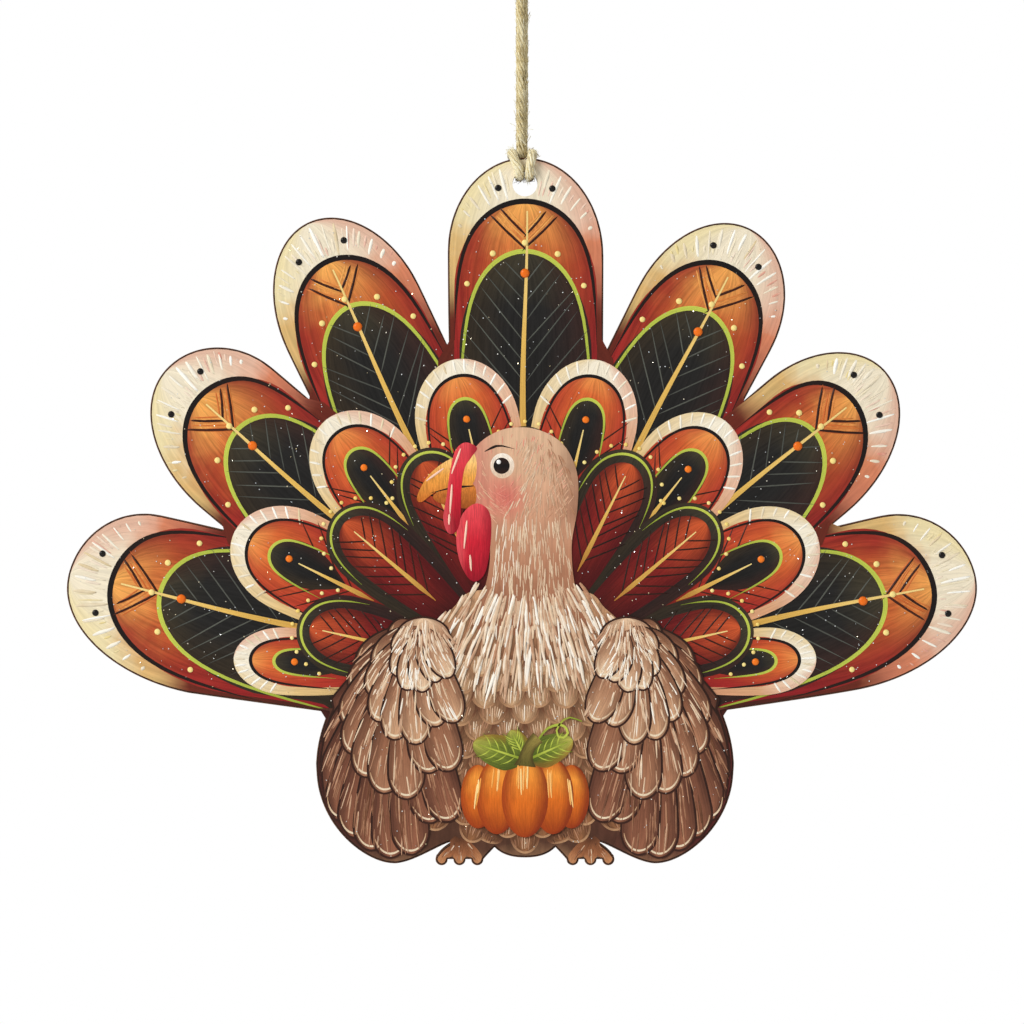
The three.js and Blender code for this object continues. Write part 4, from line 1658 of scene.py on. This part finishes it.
edges, scale_fills, scales = Paint(), [Paint() for _ in range(SHADES)], []
rows = np.arange(-25.4, 8.0, ROW_PITCH)
for number, height in enumerate(rows):
    width = float(np.interp(height, *BREAST_PROFILE)) - 0.8
    count = max(1, round(width / SCALE_PITCH))
    level = number / (len(rows) - 1)
    for place in range(-count, count + 1):
        spot = (place + 0.5 * (number % 2)) / count
        if abs(spot) > 1:
            continue
        root = np.array([spot * width, height + 4.0 - 1.8 * spot**2])
        angle = 180 - spot * 22
        reach = SCALE_LENGTH
        while not on_body(angle, reach, root):
            reach -= 0.2
        layer = BREAST + 1 + 0.6 * number + 0.2 * (place % 2)
        shape = scale_shape(reach)
        add_lobe(edges, angle, lobe(shape, 0.6, 0.4, 14), layer, root)
        fill = scale_fills[int(np.clip(SHADES * (level - 0.25 * spot**2), 0, SHADES - 1))]
        add_lobe(fill, angle, lobe(shrunk(shape, *SCALE_INSET), 0.6, 0.4, 14), layer + 0.1, root)
        scales.append((angle, reach, root, level, spot, layer))
print("breast:", len(scales), "feathers in", len(rows), "rows")

# %% Breast paint
SCALE_EDGE = brushed("scale_edge_paint", graded((70, 43, 31), (112, 72, 50), (186, 142, 104), 0.6))
edges.build("breast_edges", SCALE_EDGE)
for number, paint in enumerate(scale_fills):
    share = number / (SHADES - 1)
    deep = tuple(np.array([68, 41, 29]) * (1 - share) + np.array([132, 90, 62]) * share)
    pale = tuple(np.array([146, 98, 64]) * (1 - share) + np.array([214, 178, 138]) * share)
    shade = brushed("breast_%d_paint" % number, [(0.1, deep), (1.0, pale)], (deep, deep), 0.5)
    paint.build("breast_feathers_%d" % number, shade)

# %% [markdown]
# Fine hairs soften every small feather. They fan out at its end, paler in its middle and
# higher on the breast. The same down paint serves the wings, the neck and the feet.

# %% Hairs on the breast
SCALE_HAIRS = 9
hairs = Marks(51)
for angle, reach, root, level, spot, layer in scales:
    for fan in np.linspace(-1, 1, SCALE_HAIRS):
        at = placed(angle, fan * 1.5, hairs.near(0.55, 0.1) * reach, root)[0]
        tone = 0.34 + 0.42 * level + 0.16 * (1 - abs(fan)) - 0.2 * spot**2
        length = hairs.near(0.34, 0.08) * reach * (1 - 0.35 * abs(fan))
        hairs.add(at, (angle - fan * 10, 6), length, (0.2, 0.06), (tone, 0.16), layer + 0.15)

DOWN = toned(
    "down_paint",
    [
        (0.0, (50, 29, 22)),
        (0.25, (112, 70, 47)),
        (0.5, (182, 132, 100)),
        (0.75, (230, 202, 170)),
        (0.95, (252, 245, 232)),
    ],
)
hairs.build("breast_hairs", DOWN, Bend=0.4)
print("breast:", len(hairs.rows), "hairs")

# %% [markdown]
# The mantle is the plain patch over the shoulders, under the collar. It hides where the
# breast's top row begins, and the wings start on it. Strokes go over it later, so one filled
# outline is enough.

# %% Mantle
MANTLE = 48
MANTLE_OUTLINE = [
    (-7.2, 13.2), (-11.2, 10.4), (-15.0, 7.0), (-16.6, 4.4), (-9.0, 3.2), (0.6, 2.4),
    (10.0, 3.2), (17.4, 4.4), (16.0, 7.0), (12.4, 10.4), (8.4, 13.2),
]
mantle = Paint()
mantle.blob(MANTLE_OUTLINE, MANTLE)
mantle.build("mantle", brushed("mantle_paint", graded((118, 78, 54), (170, 126, 92), (196, 152, 114), 0.6)))

# %% [markdown]
# A wing is a fan of long curved feathers from the shoulder, folded down along the body's
# edge. Shorter, paler feathers lie over them in three more tiers. One drawn outline could
# hold the wing, but then its feathers couldn't overlap. So each is its own ribbon, and how
# far it reaches is measured to the board's outline, or at the shoulder to the body's round.

# %% How far a wing reaches
SHOULDER = np.array([15.5, 8.0])
WING_RIM = 0.5
LONGEST = 38.0
FOOT_BEARING = 180.0
SHORT_REACH = 31.5
WAIST_BEARING = 142.0
ROUND_HALF = np.array([31.6, 19.4])
ROUND_CENTRE = np.array([0.0, -9.0])


def round_gap(start, angle):
    """How far the body's round goes from a point in a direction."""
    way = heading(angle) / ROUND_HALF
    place = (start - ROUND_CENTRE) / ROUND_HALF
    a, b, c = way @ way, place @ way, place @ place - 1
    return (-b + math.sqrt(b * b - a * c)) / a


def wing_reach(root, side, bearing):
    """How far a wing's feather can go."""
    reach = edge_gap(root, heading(side * bearing))
    if bearing < WAIST_BEARING:
        reach = min(reach, round_gap(root, side * bearing))
    if bearing > FOOT_BEARING:
        reach = min(reach, SHORT_REACH)
    return min(reach - WING_RIM, LONGEST)


def swept(root, angle, curl, along):
    """A line from a root whose heading turns by curl on its way, and its headings."""
    aims = angle + curl * (along / along[-1] - 0.5)
    turn = np.radians(aims)
    steps = np.diff(along, prepend=0.0)[:, None]
    return root + np.cumsum(np.c_[np.sin(turn), np.cos(turn)] * steps, axis=0), aims


print("a wing reaches", round(wing_reach(SHOULDER, 1, 150.0), 1), "mm")

# %% Wing feathers
WINGS = 50
FEATHER_STEP = 0.55
SHORTEST = 4.2
CAP_SHIFT = np.array([0.2, -2.0])
CAP_WIDE = 4.0
CAP_TALL = 2.9
# Each tier: feathers, first and last bearing, share of the reach, half width, tone, curl, strokes
TIERS = {
    "long": (10, (140.0, 187.0), 1.0, 3.1, 0.02, 20.0, 26),
    "middle": (9, (126.0, 190.0), 0.75, 3.0, 0.2, 18.0, 22),
    "short": (8, (120.0, 198.0), 0.52, 2.7, 0.36, 14.0, 18),
    "small": (7, (122.0, 206.0), 0.3, 2.3, 0.54, 8.0, 16),
}


def add_oval(paint, centre, wide, tall, layer):
    turn = np.linspace(0, math.pi, 20)
    line = np.c_[np.full(20, centre[0]), centre[1] - tall * np.cos(turn)]
    paint.ribbon(line, wide * np.sin(turn), layer, 9)


wing_edges, wing_tips, wing_feathers = Paint(), Paint(), []
tier_vanes = {name: Paint() for name in TIERS}
for side in (-1, 1):
    root = SHOULDER * (side, 1)
    layer = WINGS
    for name, (count, bearings, share, half, tone, curl, strokes) in TIERS.items():
        if name == "small":
            layer += FEATHER_STEP
            cap = root + CAP_SHIFT * (side, 1)
            add_oval(wing_edges, cap, CAP_WIDE + 0.3, CAP_TALL + 0.3, layer)
            add_oval(tier_vanes[name], cap, CAP_WIDE, CAP_TALL, layer + 0.2)
        for bearing in np.linspace(*bearings, count):
            angle = side * bearing
            length = share * wing_reach(root, side, bearing)
            if length < SHORTEST:
                continue
            shape = (length, half, min(4.2, 0.45 * length))
            layer += FEATHER_STEP
            along, width = lobe(shape, 1.0, 0.25)
            wing_edges.ribbon(swept(root, angle, side * curl, along)[0], width, layer, 5, 0.3, True)
            along, width = lobe(shrunk(shape, 0.3, 0.3, 0.2), 1.0, 0.25)
            line, aims = swept(root, angle, side * curl, along)
            tier_vanes[name].ribbon(line, width, layer + 0.2, 7, 0.6, True)
            turn = np.linspace(-1.2, 1.2, 20)
            across, tip_along = round_nose(shrunk(shape, 0.5, 0.5, 0.4), turn)
            tip = placed(angle + side * curl / 2, across, tip_along - length, line[-1])
            if inside_loop(tip, HEM).all():
                wing_tips.ribbon(tip, 0.15 * np.cos(turn), layer + 0.3, 3)
            tracks = (*line.T, aims, width[:, 0])
            wing_feathers.append((side, length, tone, strokes, along / along[-1], tracks, layer))
print("wings:", len(wing_feathers), "feathers")

# %% [markdown]
# Every wing feather is a brown vane on a dark edge, with a fine pale line round its tip. The
# tiers get paler to the shoulder, which makes the wing look round.

# %% Wing paint
WING_SHADES = {
    "long": ((60, 32, 26), (104, 62, 46), (144, 92, 68)),
    "middle": ((72, 42, 32), (134, 86, 62), (170, 120, 90)),
    "short": ((98, 60, 44), (168, 120, 90), (204, 160, 124)),
    "small": ((134, 90, 66), (200, 156, 122), (230, 198, 164)),
}
WING_EDGE = brushed("wing_edge_paint", graded((60, 37, 27), (42, 25, 19), (58, 32, 24), 0.6))
wing_edges.build("wing_edges", WING_EDGE)
wing_tips.build("wing_tips", brushed("wing_tip_paint", graded((190, 148, 108), (240, 222, 192))))
for name, (deep, middle, pale) in WING_SHADES.items():
    stops = [(0.1, deep), (0.6, middle), (1.0, pale)]
    tier_vanes[name].build("wing_" + name, brushed("wing_%s_paint" % name, stops, (deep, deep), 0.6, 0.3))

# %% [markdown]
# Brush strokes go along each wing feather, darker at its sides and paler to its tip. Their
# places are random, but a stroke that would pass the feather's end or the body's hem is cut
# short or left out. A cap of short strokes covers the shoulder, where the feathers start.

# %% Wing strokes
CAP_STROKES = 56
wing_marks = Marks(61)
for side, length, tone, strokes, stations, tracks, layer in wing_feathers:
    for _ in range(strokes):
        station, out = wing_marks.near(0.6, 0.34), wing_marks.near(0.0, 0.8)
        x, z, aim, wide = (float(np.interp(station, stations, track)) for track in tracks)
        at = placed(aim, out * wide, 0.0, (x, z))[0]
        size = min(wing_marks.near(0.11 * length + 0.8, 0.5), 0.9 * (1 - station) * length)
        shade = wing_marks.near(0.2 + tone + 0.3 * station - 0.22 * abs(out), 0.2)
        if size > 0.5 and inside_loop(placed(aim, 0.0, size, at), HEM).all():
            wing_marks.add(at, (aim + side * 4, 5), size, (0.26, 0.1), shade, layer + 0.4)
for side in (-1, 1):
    for share in np.linspace(-1, 1, CAP_STROKES):
        rise = CAP_TALL * math.sqrt(1 - 0.9 * share**2) * wing_marks.near(0.3, 0.6)
        at = SHOULDER * (side, 1) + CAP_SHIFT * (side, 1) + (share * CAP_WIDE * 0.9, rise)
        wing_marks.add(at, (180 - 34 * share, 8), (2.2, 0.8), (0.32, 0.1), (0.7, 0.2), WINGS + 20)

wing_marks.build("wing_strokes", DOWN, Bend=0.4)
print("wings:", len(wing_marks.rows), "strokes")

# %% [markdown]
# The head is a plain turkey's head in profile on its neck: tan skin, an orange beak, a red
# snood over it and a red wattle under it. Ribbons suit feathers, but a head has no line to
# follow. Each of its shapes is a smooth outline through a few points, filled.

# %% Outlines of the head
NECK_OUTLINE = [
    (-8.6, 8.5), (-6.4, 13.0), (-5.4, 18.0), (-5.8, 23.0), (-8.0, 26.8), (-9.1, 31.0),
    (-7.5, 35.4), (-3.4, 38.0), (1.5, 38.1), (5.8, 35.8), (8.0, 31.4), (8.1, 26.0),
    (7.2, 20.0), (7.8, 13.5), (9.8, 8.5), (5.5, 6.5), (-4.5, 6.5),
]
LOWER_BEAK = [(-8.0, 29.6), (-12.4, 28.8), (-14.2, 27.6), (-12.4, 26.4), (-8.0, 26.0)]
UPPER_BEAK = [
    (-7.8, 34.2), (-11.6, 33.4), (-14.8, 31.0), (-16.6, 27.8), (-16.0, 26.8), (-13.4, 28.5), (-8.2, 29.4),
]
WATTLE_OUTLINE = [
    (-7.4, 26.6), (-9.6, 25.0), (-10.6, 21.4), (-9.9, 17.2),
    (-8.1, 14.6), (-6.2, 15.8), (-5.3, 20.4), (-5.4, 25.0),
]
SNOOD_OUTLINE = [
    (-7.4, 35.2), (-9.2, 36.0), (-10.7, 34.8), (-11.5, 31.8), (-12.1, 27.6), (-12.6, 24.2),
    (-11.8, 22.0), (-10.5, 22.4), (-9.9, 24.8), (-9.8, 28.6), (-9.3, 32.0), (-8.2, 33.8),
]
# The beak's mouth, its nostril and the brow, each with a half width
HEAD_LINES = [
    ([(-7.9, 29.3), (-11.2, 29.0), (-14.6, 28.2)], 0.2),
    ([(-10.4, 32.0), (-11.6, 31.9)], 0.28),
    ([(-6.2, 34.6), (-4.2, 35.5), (-1.6, 35.0)], 0.2),
]
print("head: 5 outlines and", len(HEAD_LINES), "lines")

# %% Head
HEAD = 56
EYE = (-3.6, 32.4)


def add_line(paint, corners, width, layer, steps=24, ends=(0.3, 0.1)):
    """A brush line through corners, widest a third of the way along."""
    line = smooth_line([[x, 0, z] for x, z in corners], 1.0)[:, [0, 2]] / MM
    share = np.linspace(0, 1, steps)
    at = np.linspace(0, 1, len(line))
    line = np.c_[np.interp(share, at, line[:, 0]), np.interp(share, at, line[:, 1])]
    swell = np.interp(share, [0, 0.3, 1], [ends[0], 1, ends[1]])
    paint.ribbon(line, width * swell, layer, 3)


skin, upper_beak, lower_beak, soft_reds, head_inks, ring = (Paint() for _ in range(6))
skin.blob(NECK_OUTLINE, HEAD)
lower_beak.blob(LOWER_BEAK, HEAD + 1)
upper_beak.blob(UPPER_BEAK, HEAD + 2)
soft_reds.blob(WATTLE_OUTLINE, HEAD + 3)
soft_reds.blob(SNOOD_OUTLINE, HEAD + 5)
for corners, width in HEAD_LINES:
    add_line(head_inks, corners, width, HEAD + 3)
add_oval(ring, (-3.5, 32.4), 1.85, 1.95, HEAD + 2)
add_oval(head_inks, EYE, 1.25, 1.25, HEAD + 3)
white_dots = Marks(71)
white_dots.dot((-4.05, 33.0), 0.36, 0.9, HEAD + 4)
print("head:", len(skin.verts), "points")

# %% Head paint
CHEEK = (-3.0, 27.4)
SKIN = brushed(
    "skin_paint",
    [(0.0, (140, 90, 64)), (0.35, (182, 128, 98)), (0.62, (210, 158, 126)), (0.9, (220, 180, 146))],
    ((206, 104, 96), (112, 70, 52)),
    streak=0.14,
    side_from=0.6,
    spot=(CHEEK, 5.4, (212, 96, 90)),
)
UPPER = brushed("beak_top_paint", graded((196, 104, 36), (234, 160, 70), (252, 212, 136)))
LOWER = brushed("beak_low_paint", [(0.0, (150, 74, 28)), (1.0, (214, 128, 54))])
WATTLE = brushed(
    "wattle_paint",
    graded((140, 16, 34), (206, 34, 52), (228, 76, 84)),
    ((232, 90, 96), (140, 14, 34)),
    streak=0.3,
)
skin.build("head", SKIN)
lower_beak.build("beak_lower", LOWER)
upper_beak.build("beak_upper", UPPER)
soft_reds.build("snood_and_wattle", WATTLE)
head_inks.build("head_lines", INK)
ring.build("eye_ring", brushed("eye_ring_paint", [(0.0, (222, 190, 160)), (1.0, (250, 240, 224))]))

# %% [markdown]
# Strokes give the skin its short down. On the neck they hang, and on the face they turn about
# the eye and redden to the cheek. They are strewn at random between the sides of the head,
# which are read from short profiles.

# %% Strokes on the neck
# Sides of the head and neck: heights, then places across
LEFT_SIDE = ([8, 13, 18, 23, 31, 37], [-7.6, -6.0, -4.8, -4.6, 0.6, -1.0])
RIGHT_SIDE = ([8, 13.5, 20, 26, 31.4, 37], [9.0, 7.4, 6.8, 7.6, 7.4, 3.5])
NECK_STROKES = 420
CHIN_Z = 25
head_marks, face_marks = Marks(72), Marks(74)
for _ in range(NECK_STROKES):
    height, side = head_marks.near(22.0, 14.6), head_marks.near(0.0, 0.97)
    left, right = (float(np.interp(height, *line)) for line in (LEFT_SIDE, RIGHT_SIDE))
    x = (left + right) / 2 + side * (right - left) / 2
    fan, long, pale = (30, 1.4, 0.0) if height > CHIN_Z else (9, 2.1, 0.12)
    tone = 0.6 - 0.1 * side + pale
    head_marks.add((x, height), (180 - fan * side, 7), (long, 0.5), (0.2, 0.05), (tone, 0.08), HEAD + 2)
print("neck:", len(head_marks.rows), "strokes")

# %% Strokes on the face
# The face's side: heights, then places across
FACE_SIDE = ([24, 27, 31, 35, 38], [-5.2, -7.4, -7.9, -6.6, -2.4])
FACE_STROKES = 260
for _ in range(FACE_STROKES):
    x, height = head_marks.near(0.0, 8.0), head_marks.near(31.0, 6.5)
    left, right = (float(np.interp(height, *line)) for line in (FACE_SIDE, RIGHT_SIDE))
    from_eye = (x - EYE[0], height - EYE[1])
    if left < x < right and math.hypot(*from_eye) > 2.9:
        aim = 180 + math.degrees(math.atan2(*from_eye)) * 0.3
        red = max(0.0, 1 - math.hypot(x - CHEEK[0], height - CHEEK[1]) / 5.0)
        tone = 0.3 + 0.03 * (height - 31) + 0.6 * red
        face_marks.add((x, height), (aim, 14), (1.0, 0.4), (0.17, 0.05), (tone, 0.16), HEAD + 1.5)
print("face:", len(face_marks.rows), "strokes")

# %% [markdown]
# Pale tufts of the collar cover the foot of the neck, in five rows from the bottom up. A few
# light strokes on the snood, the wattle and the beak make them look round.

# %% Collar
# Each row of the collar: height, half width and length of its tufts
COLLAR = ((4.4, 13.4, 4.8), (7.0, 14.6, 5.4), (9.6, 12.4, 5.2), (12.2, 9.8, 4.8), (14.2, 7.6, 4.2))
for row, (height, spread, size) in enumerate(COLLAR):
    for step in np.repeat(np.linspace(-1, 1, 19), 3):
        x, z = head_marks.near(step * spread, 0.5) + 0.6, head_marks.near(height - 2.6 * (1 - step**2), 0.5)
        long = head_marks.near(size * (1 - 0.25 * step**2), 1.2)
        head_marks.add((x, z), (180 - step * 32, 9), long, (0.5, 0.18), (0.74, 0.24), HEAD + 3 + row)

FACE_SKIN = toned(
    "face_stroke_paint",
    [(0.0, (196, 140, 108)), (0.3, (226, 180, 146)), (0.55, (228, 150, 128)), (0.95, (206, 84, 84))],
)
head_marks.build("collar_and_neck_marks", DOWN, Bend=0.4)
face_marks.build("face_strokes", FACE_SKIN, Bend=0.5)
print("neck and collar:", len(head_marks.rows), "strokes")

# %% Light on the head
# Light on the snood, the wattle and the beak: place, aim and length
SHINES = (
    ((-9.9, 34.9), 200, 4.0), ((-11.2, 29.4), 184, 4.4), ((-11.6, 24.9), 182, 1.6),
    ((-8.9, 23.8), 186, 4.2), ((-8.4, 18.6), 176, 2.4), ((-12.6, 31.9), 234, 3.2),
)
shine = Marks(73)
for place, aim, length in SHINES:
    shine.add(place, aim, length, 0.4, 0.7, HEAD + 7)

shine.build("head_highlights", toned("shine_paint", tones((236, 140, 130), (255, 222, 196))), Bend=0.3)

# %% [markdown]
# A pumpkin fills the middle of the belly, between the wings. It could be one oval with lines
# for its ribs, but each rib is its own ribbon, shaded to its sides, so the ribs look full. The
# outer ribs go on first and the middle one last.

# %% Pumpkin
HARVEST = 76
PUMPKIN = np.array([0.0, -18.6])
# Each pair of ribs: its distance from the middle, half width and half height
RIBS = ((7.2, 2.7, 4.9), (4.3, 3.2, 5.8), (0.0, 3.6, 6.3))
STEM_LINE = PUMPKIN + np.array([[0, 4.7], [0.1, 5.6], [0.3, 6.8], [0.9, 8.0], [2.0, 9.1]])
STEM_HALF = [1.7, 1.2, 0.95, 0.9, 1.05]
ribs, stem = Paint(), Paint()
for layer, (offset, wide, tall) in enumerate(RIBS):
    for side in (-1, 1) if offset else (1,):
        add_oval(ribs, PUMPKIN + (side * offset, 0), wide, tall, HARVEST + layer)
stem.ribbon(STEM_LINE, STEM_HALF, HARVEST + 6, 5)
print("pumpkin:", 2 * len(RIBS) - 1, "ribs")

# %% Pumpkin paint
RIB = brushed(
    "pumpkin_paint",
    [(0.0, (150, 56, 18)), (0.45, (222, 112, 32)), (0.8, (240, 150, 56)), (1.0, (190, 92, 30))],
    ((160, 62, 20), (130, 44, 18)),
    side_share=0.9,
    streak=0.2,
)
STEM = brushed("stem_paint", [(0.0, (92, 84, 36)), (1.0, (150, 132, 66))], ((70, 58, 28), (60, 48, 24)))
ribs.build("pumpkin", RIB)
stem.build("pumpkin_stem", STEM)

# %% [markdown]
# Three leaves and a tendril grow at the foot of the stem. A leaf is the feather shape again,
# with a long nose, and its veins are thin lines that leave its spine in pairs.

# %% Leaves
LEAF_ROOT = PUMPKIN + np.array([0.2, 5.6])
# Each leaf: its lean, length and half width
LEAVES = ((-72, 8.6, 2.6), (66, 7.8, 2.4), (-28, 5.2, 1.8))
VEIN_OUT = np.array([0, 0.45, 0.72])
VEIN_UP = np.array([0, 0.8, 1.9])
TENDRIL = PUMPKIN + np.array(
    [[1.6, 8.2], [3.6, 10.6], [6.0, 11.0], [6.6, 9.5], [5.3, 9.0], [4.9, 10.4], [6.6, 12.2], [8.8, 11.6]]
)
leaves, leaf_lines = Paint(), Paint()
for order, (angle, length, half) in enumerate(LEAVES):
    leaf = lobe((length, half, 0.62 * length), 0.3, 0.3)
    add_lobe(leaves, angle, leaf, HARVEST + 3 + 0.3 * order, LEAF_ROOT)
    spine = np.linspace(1.0, length - 0.8, 10)
    level = HARVEST + 4.4 + 0.15 * order
    leaf_lines.ribbon(placed(angle, 0 * spine, spine, LEAF_ROOT), np.linspace(0.2, 0.06, 10), level, 3)
    for along in np.linspace(1.8, 0.66 * length, 4):
        for side in (-half, half):
            vein = placed(angle, side * VEIN_OUT, along + VEIN_UP, LEAF_ROOT)
            add_line(leaf_lines, vein, 0.1, HARVEST + 4, 6)
add_line(leaf_lines, TENDRIL, 0.2, HARVEST + 5, 40, (0.6, 0.4))

LEAF = brushed(
    "leaf_paint",
    graded((66, 78, 28), (118, 132, 48), (176, 172, 78), 0.6),
    ((74, 84, 30), (150, 96, 40)),
    side_share=0.6,
)
leaves.build("leaves", LEAF)
leaf_lines.build("leaf_lines", OLIVE)

# %% [markdown]
# Feet with three toes stand under the body, on the board's own toes. A toe is a small feather
# shape with a few strokes along it.

# %% Feet
FOOT_X = 10.1
ANKLE_Z = -24.6
TOE_SPREAD = 36.0
TOE_STROKES = 5
# Each toe: its aim and its length
TOES = ((180 - TOE_SPREAD, 5.15), (180, 4.3), (180 + TOE_SPREAD, 5.15))
toes, claws = Paint(), Marks(76)
for side in (-1, 1):
    ankle = (side * FOOT_X, ANKLE_Z)
    for order, (angle, length) in enumerate(TOES):
        toe = lobe((length, 1.0, 1.0), 0.4, 0.5, 14)
        add_lobe(toes, angle, toe, BODY + 1.5 + 0.3 * order, ankle, 5, 0.3)
        for _ in range(TOE_STROKES):
            at = placed(angle, claws.near(0.0, 0.35), claws.near(2.6, 0.9), ankle)[0]
            claws.add(at, (angle, 6), (1.0, 0.25), 0.16, (0.5, 0.3), BODY + 3)

toes.build("toes", brushed("toe_paint", graded((86, 50, 32), (150, 94, 60), (188, 130, 88), 0.6)))
claws.build("toe_strokes", DOWN, Bend=0.2)

# %% [markdown]
# Light strokes down the ribs make the pumpkin shine. They are strewn near a few chosen places,
# three to each, so that they look brushed and not stamped.

# %% Light on the pumpkin
# Each place: across, up, and the strokes' lean
GLEAMS = ((-7.0, 2.2, 6), (-4.4, 3.6, 4), (-0.9, 4.6, 2), (0.3, 4.9, 0), (3.7, 3.8, -4), (6.6, 2.4, -6))
gleam = Marks(75)
for offset, height, lean in np.repeat(GLEAMS, 3, axis=0):
    at = PUMPKIN + (gleam.near(offset, 0.5), gleam.near(height, 0.6))
    gleam.add(at, (180 + lean, 4), (3.4, 1.0), 0.34, (0.5, 0.4), HARVEST + 3)

gleam.build("pumpkin_highlights", toned("gleam_paint", tones((244, 164, 72), (255, 222, 150))), Bend=0.3)

# %% [markdown]
# Flecks of glitter are strewn on the wet varnish. Sparkle could be a noise in the varnish, but
# flakes catch the light one by one as the ornament turns. Each is a tiny six-sided plate at
# its own slant, set by a tree of its own.

# %% A tree for glitter
FLAKE_SLANT = 0.4
UPRIGHT = math.pi / 2


def glitter_tree():
    """Points in, slanted six-sided flakes out."""
    t = Tree("glitter_flakes", Seed=5)
    flake = t.node("MeshCylinder", Vertices=6, Radius=1.0, Depth=0.25)
    s = FLAKE_SLANT
    slant = t.random((UPRIGHT - s, -s, -s), (UPRIGHT + s, s, s))
    return t.finish(t.copies(t.inputs["Geometry"], flake, slant, t.named("width")))


FLAKES = glitter_tree()
print("glitter tree:", len(FLAKES.nodes), "nodes")

# %% Glitter
FLECKS = 1100
FLECK_RADIUS = 0.085
FLECK_MARGIN = 0.8
METAL = 0.35


def fleck_layer(x, z):
    """The layer that a fleck lies on: the wings, the breast, the tail's tips or its inner rows."""
    if z < 2 and abs(x) < BODY_HALF:
        return 80 if abs(x) > 9 else 52
    return 18 if math.hypot(x, z) > 50 else 34


flecks = Marks(81)
strewn = flecks.random.uniform(BOARD.min(0), BOARD.max(0), (6 * FLECKS, 2))
off_hole = np.linalg.norm(strewn - HOLE, axis=1) > HOLE_RADIUS + FLECK_MARGIN
strewn = strewn[inside_loop(strewn, board_edge(FLECK_MARGIN)) & off_hole]
for x, z in strewn[:FLECKS]:
    radius = FLECK_RADIUS * flecks.random.uniform(0.5, 1.2)
    flecks.dot((x, z), radius, flecks.random.random(), fleck_layer(x, z))

glint = Mat("glitter", rough=0.2, specular=0.8)
glint.colour(glint.ramp(glint.attribute("tone"), graded((236, 214, 160), (252, 250, 244), (226, 236, 244))))
glint.shader["Metallic"].default_value = METAL
flecks.build("glitter", glint.material, FLAKES, Seed=5)

# %% [markdown]
# Raised dots are drops of thick paint, shinier than the rest. A drop is a flattened ball, and
# a tree sets one on every point gathered above. Each colour is one piece.

# %% Raised dots
DOT_RISE = 0.42
WET = 0.3


def dots_tree():
    """Points in, raised dots of thick paint out."""
    t = Tree("paint_dots", Rise=DOT_RISE)
    drop = t.node("MeshUVSphere", Segments=12, Rings=6, Radius=1.0)
    flat = t.node("Transform", drop, Scale=t.node("ShaderNodeCombineXYZ", 1.0, 1.0, t.inputs["Rise"]))
    dots = t.copies(t.inputs["Geometry"], flat, (UPRIGHT, 0, 0), t.named("width"))
    return t.finish(t.node("SetShadeSmooth", dots))


DOTS = dots_tree()
pale_dots.build("pale_dots", toned("pale_dot_paint", tones((242, 206, 104), (252, 236, 160)), WET), DOTS)
black_dots.build("black_dots", toned("black_dot_paint", tones((18, 17, 17), (40, 36, 34)), 0.25), DOTS)
orange_dots.build("orange_dots", toned("orange_dot_paint", tones((226, 92, 20), (250, 132, 36)), WET), DOTS)
white_dots.build("eye_light", toned("white_dot_paint", tones((238, 236, 230), (255, 254, 250)), WET), DOTS)
print("dots:", [len(dots.rows) for dots in (pale_dots, black_dots, orange_dots, white_dots)])

# %% [markdown]
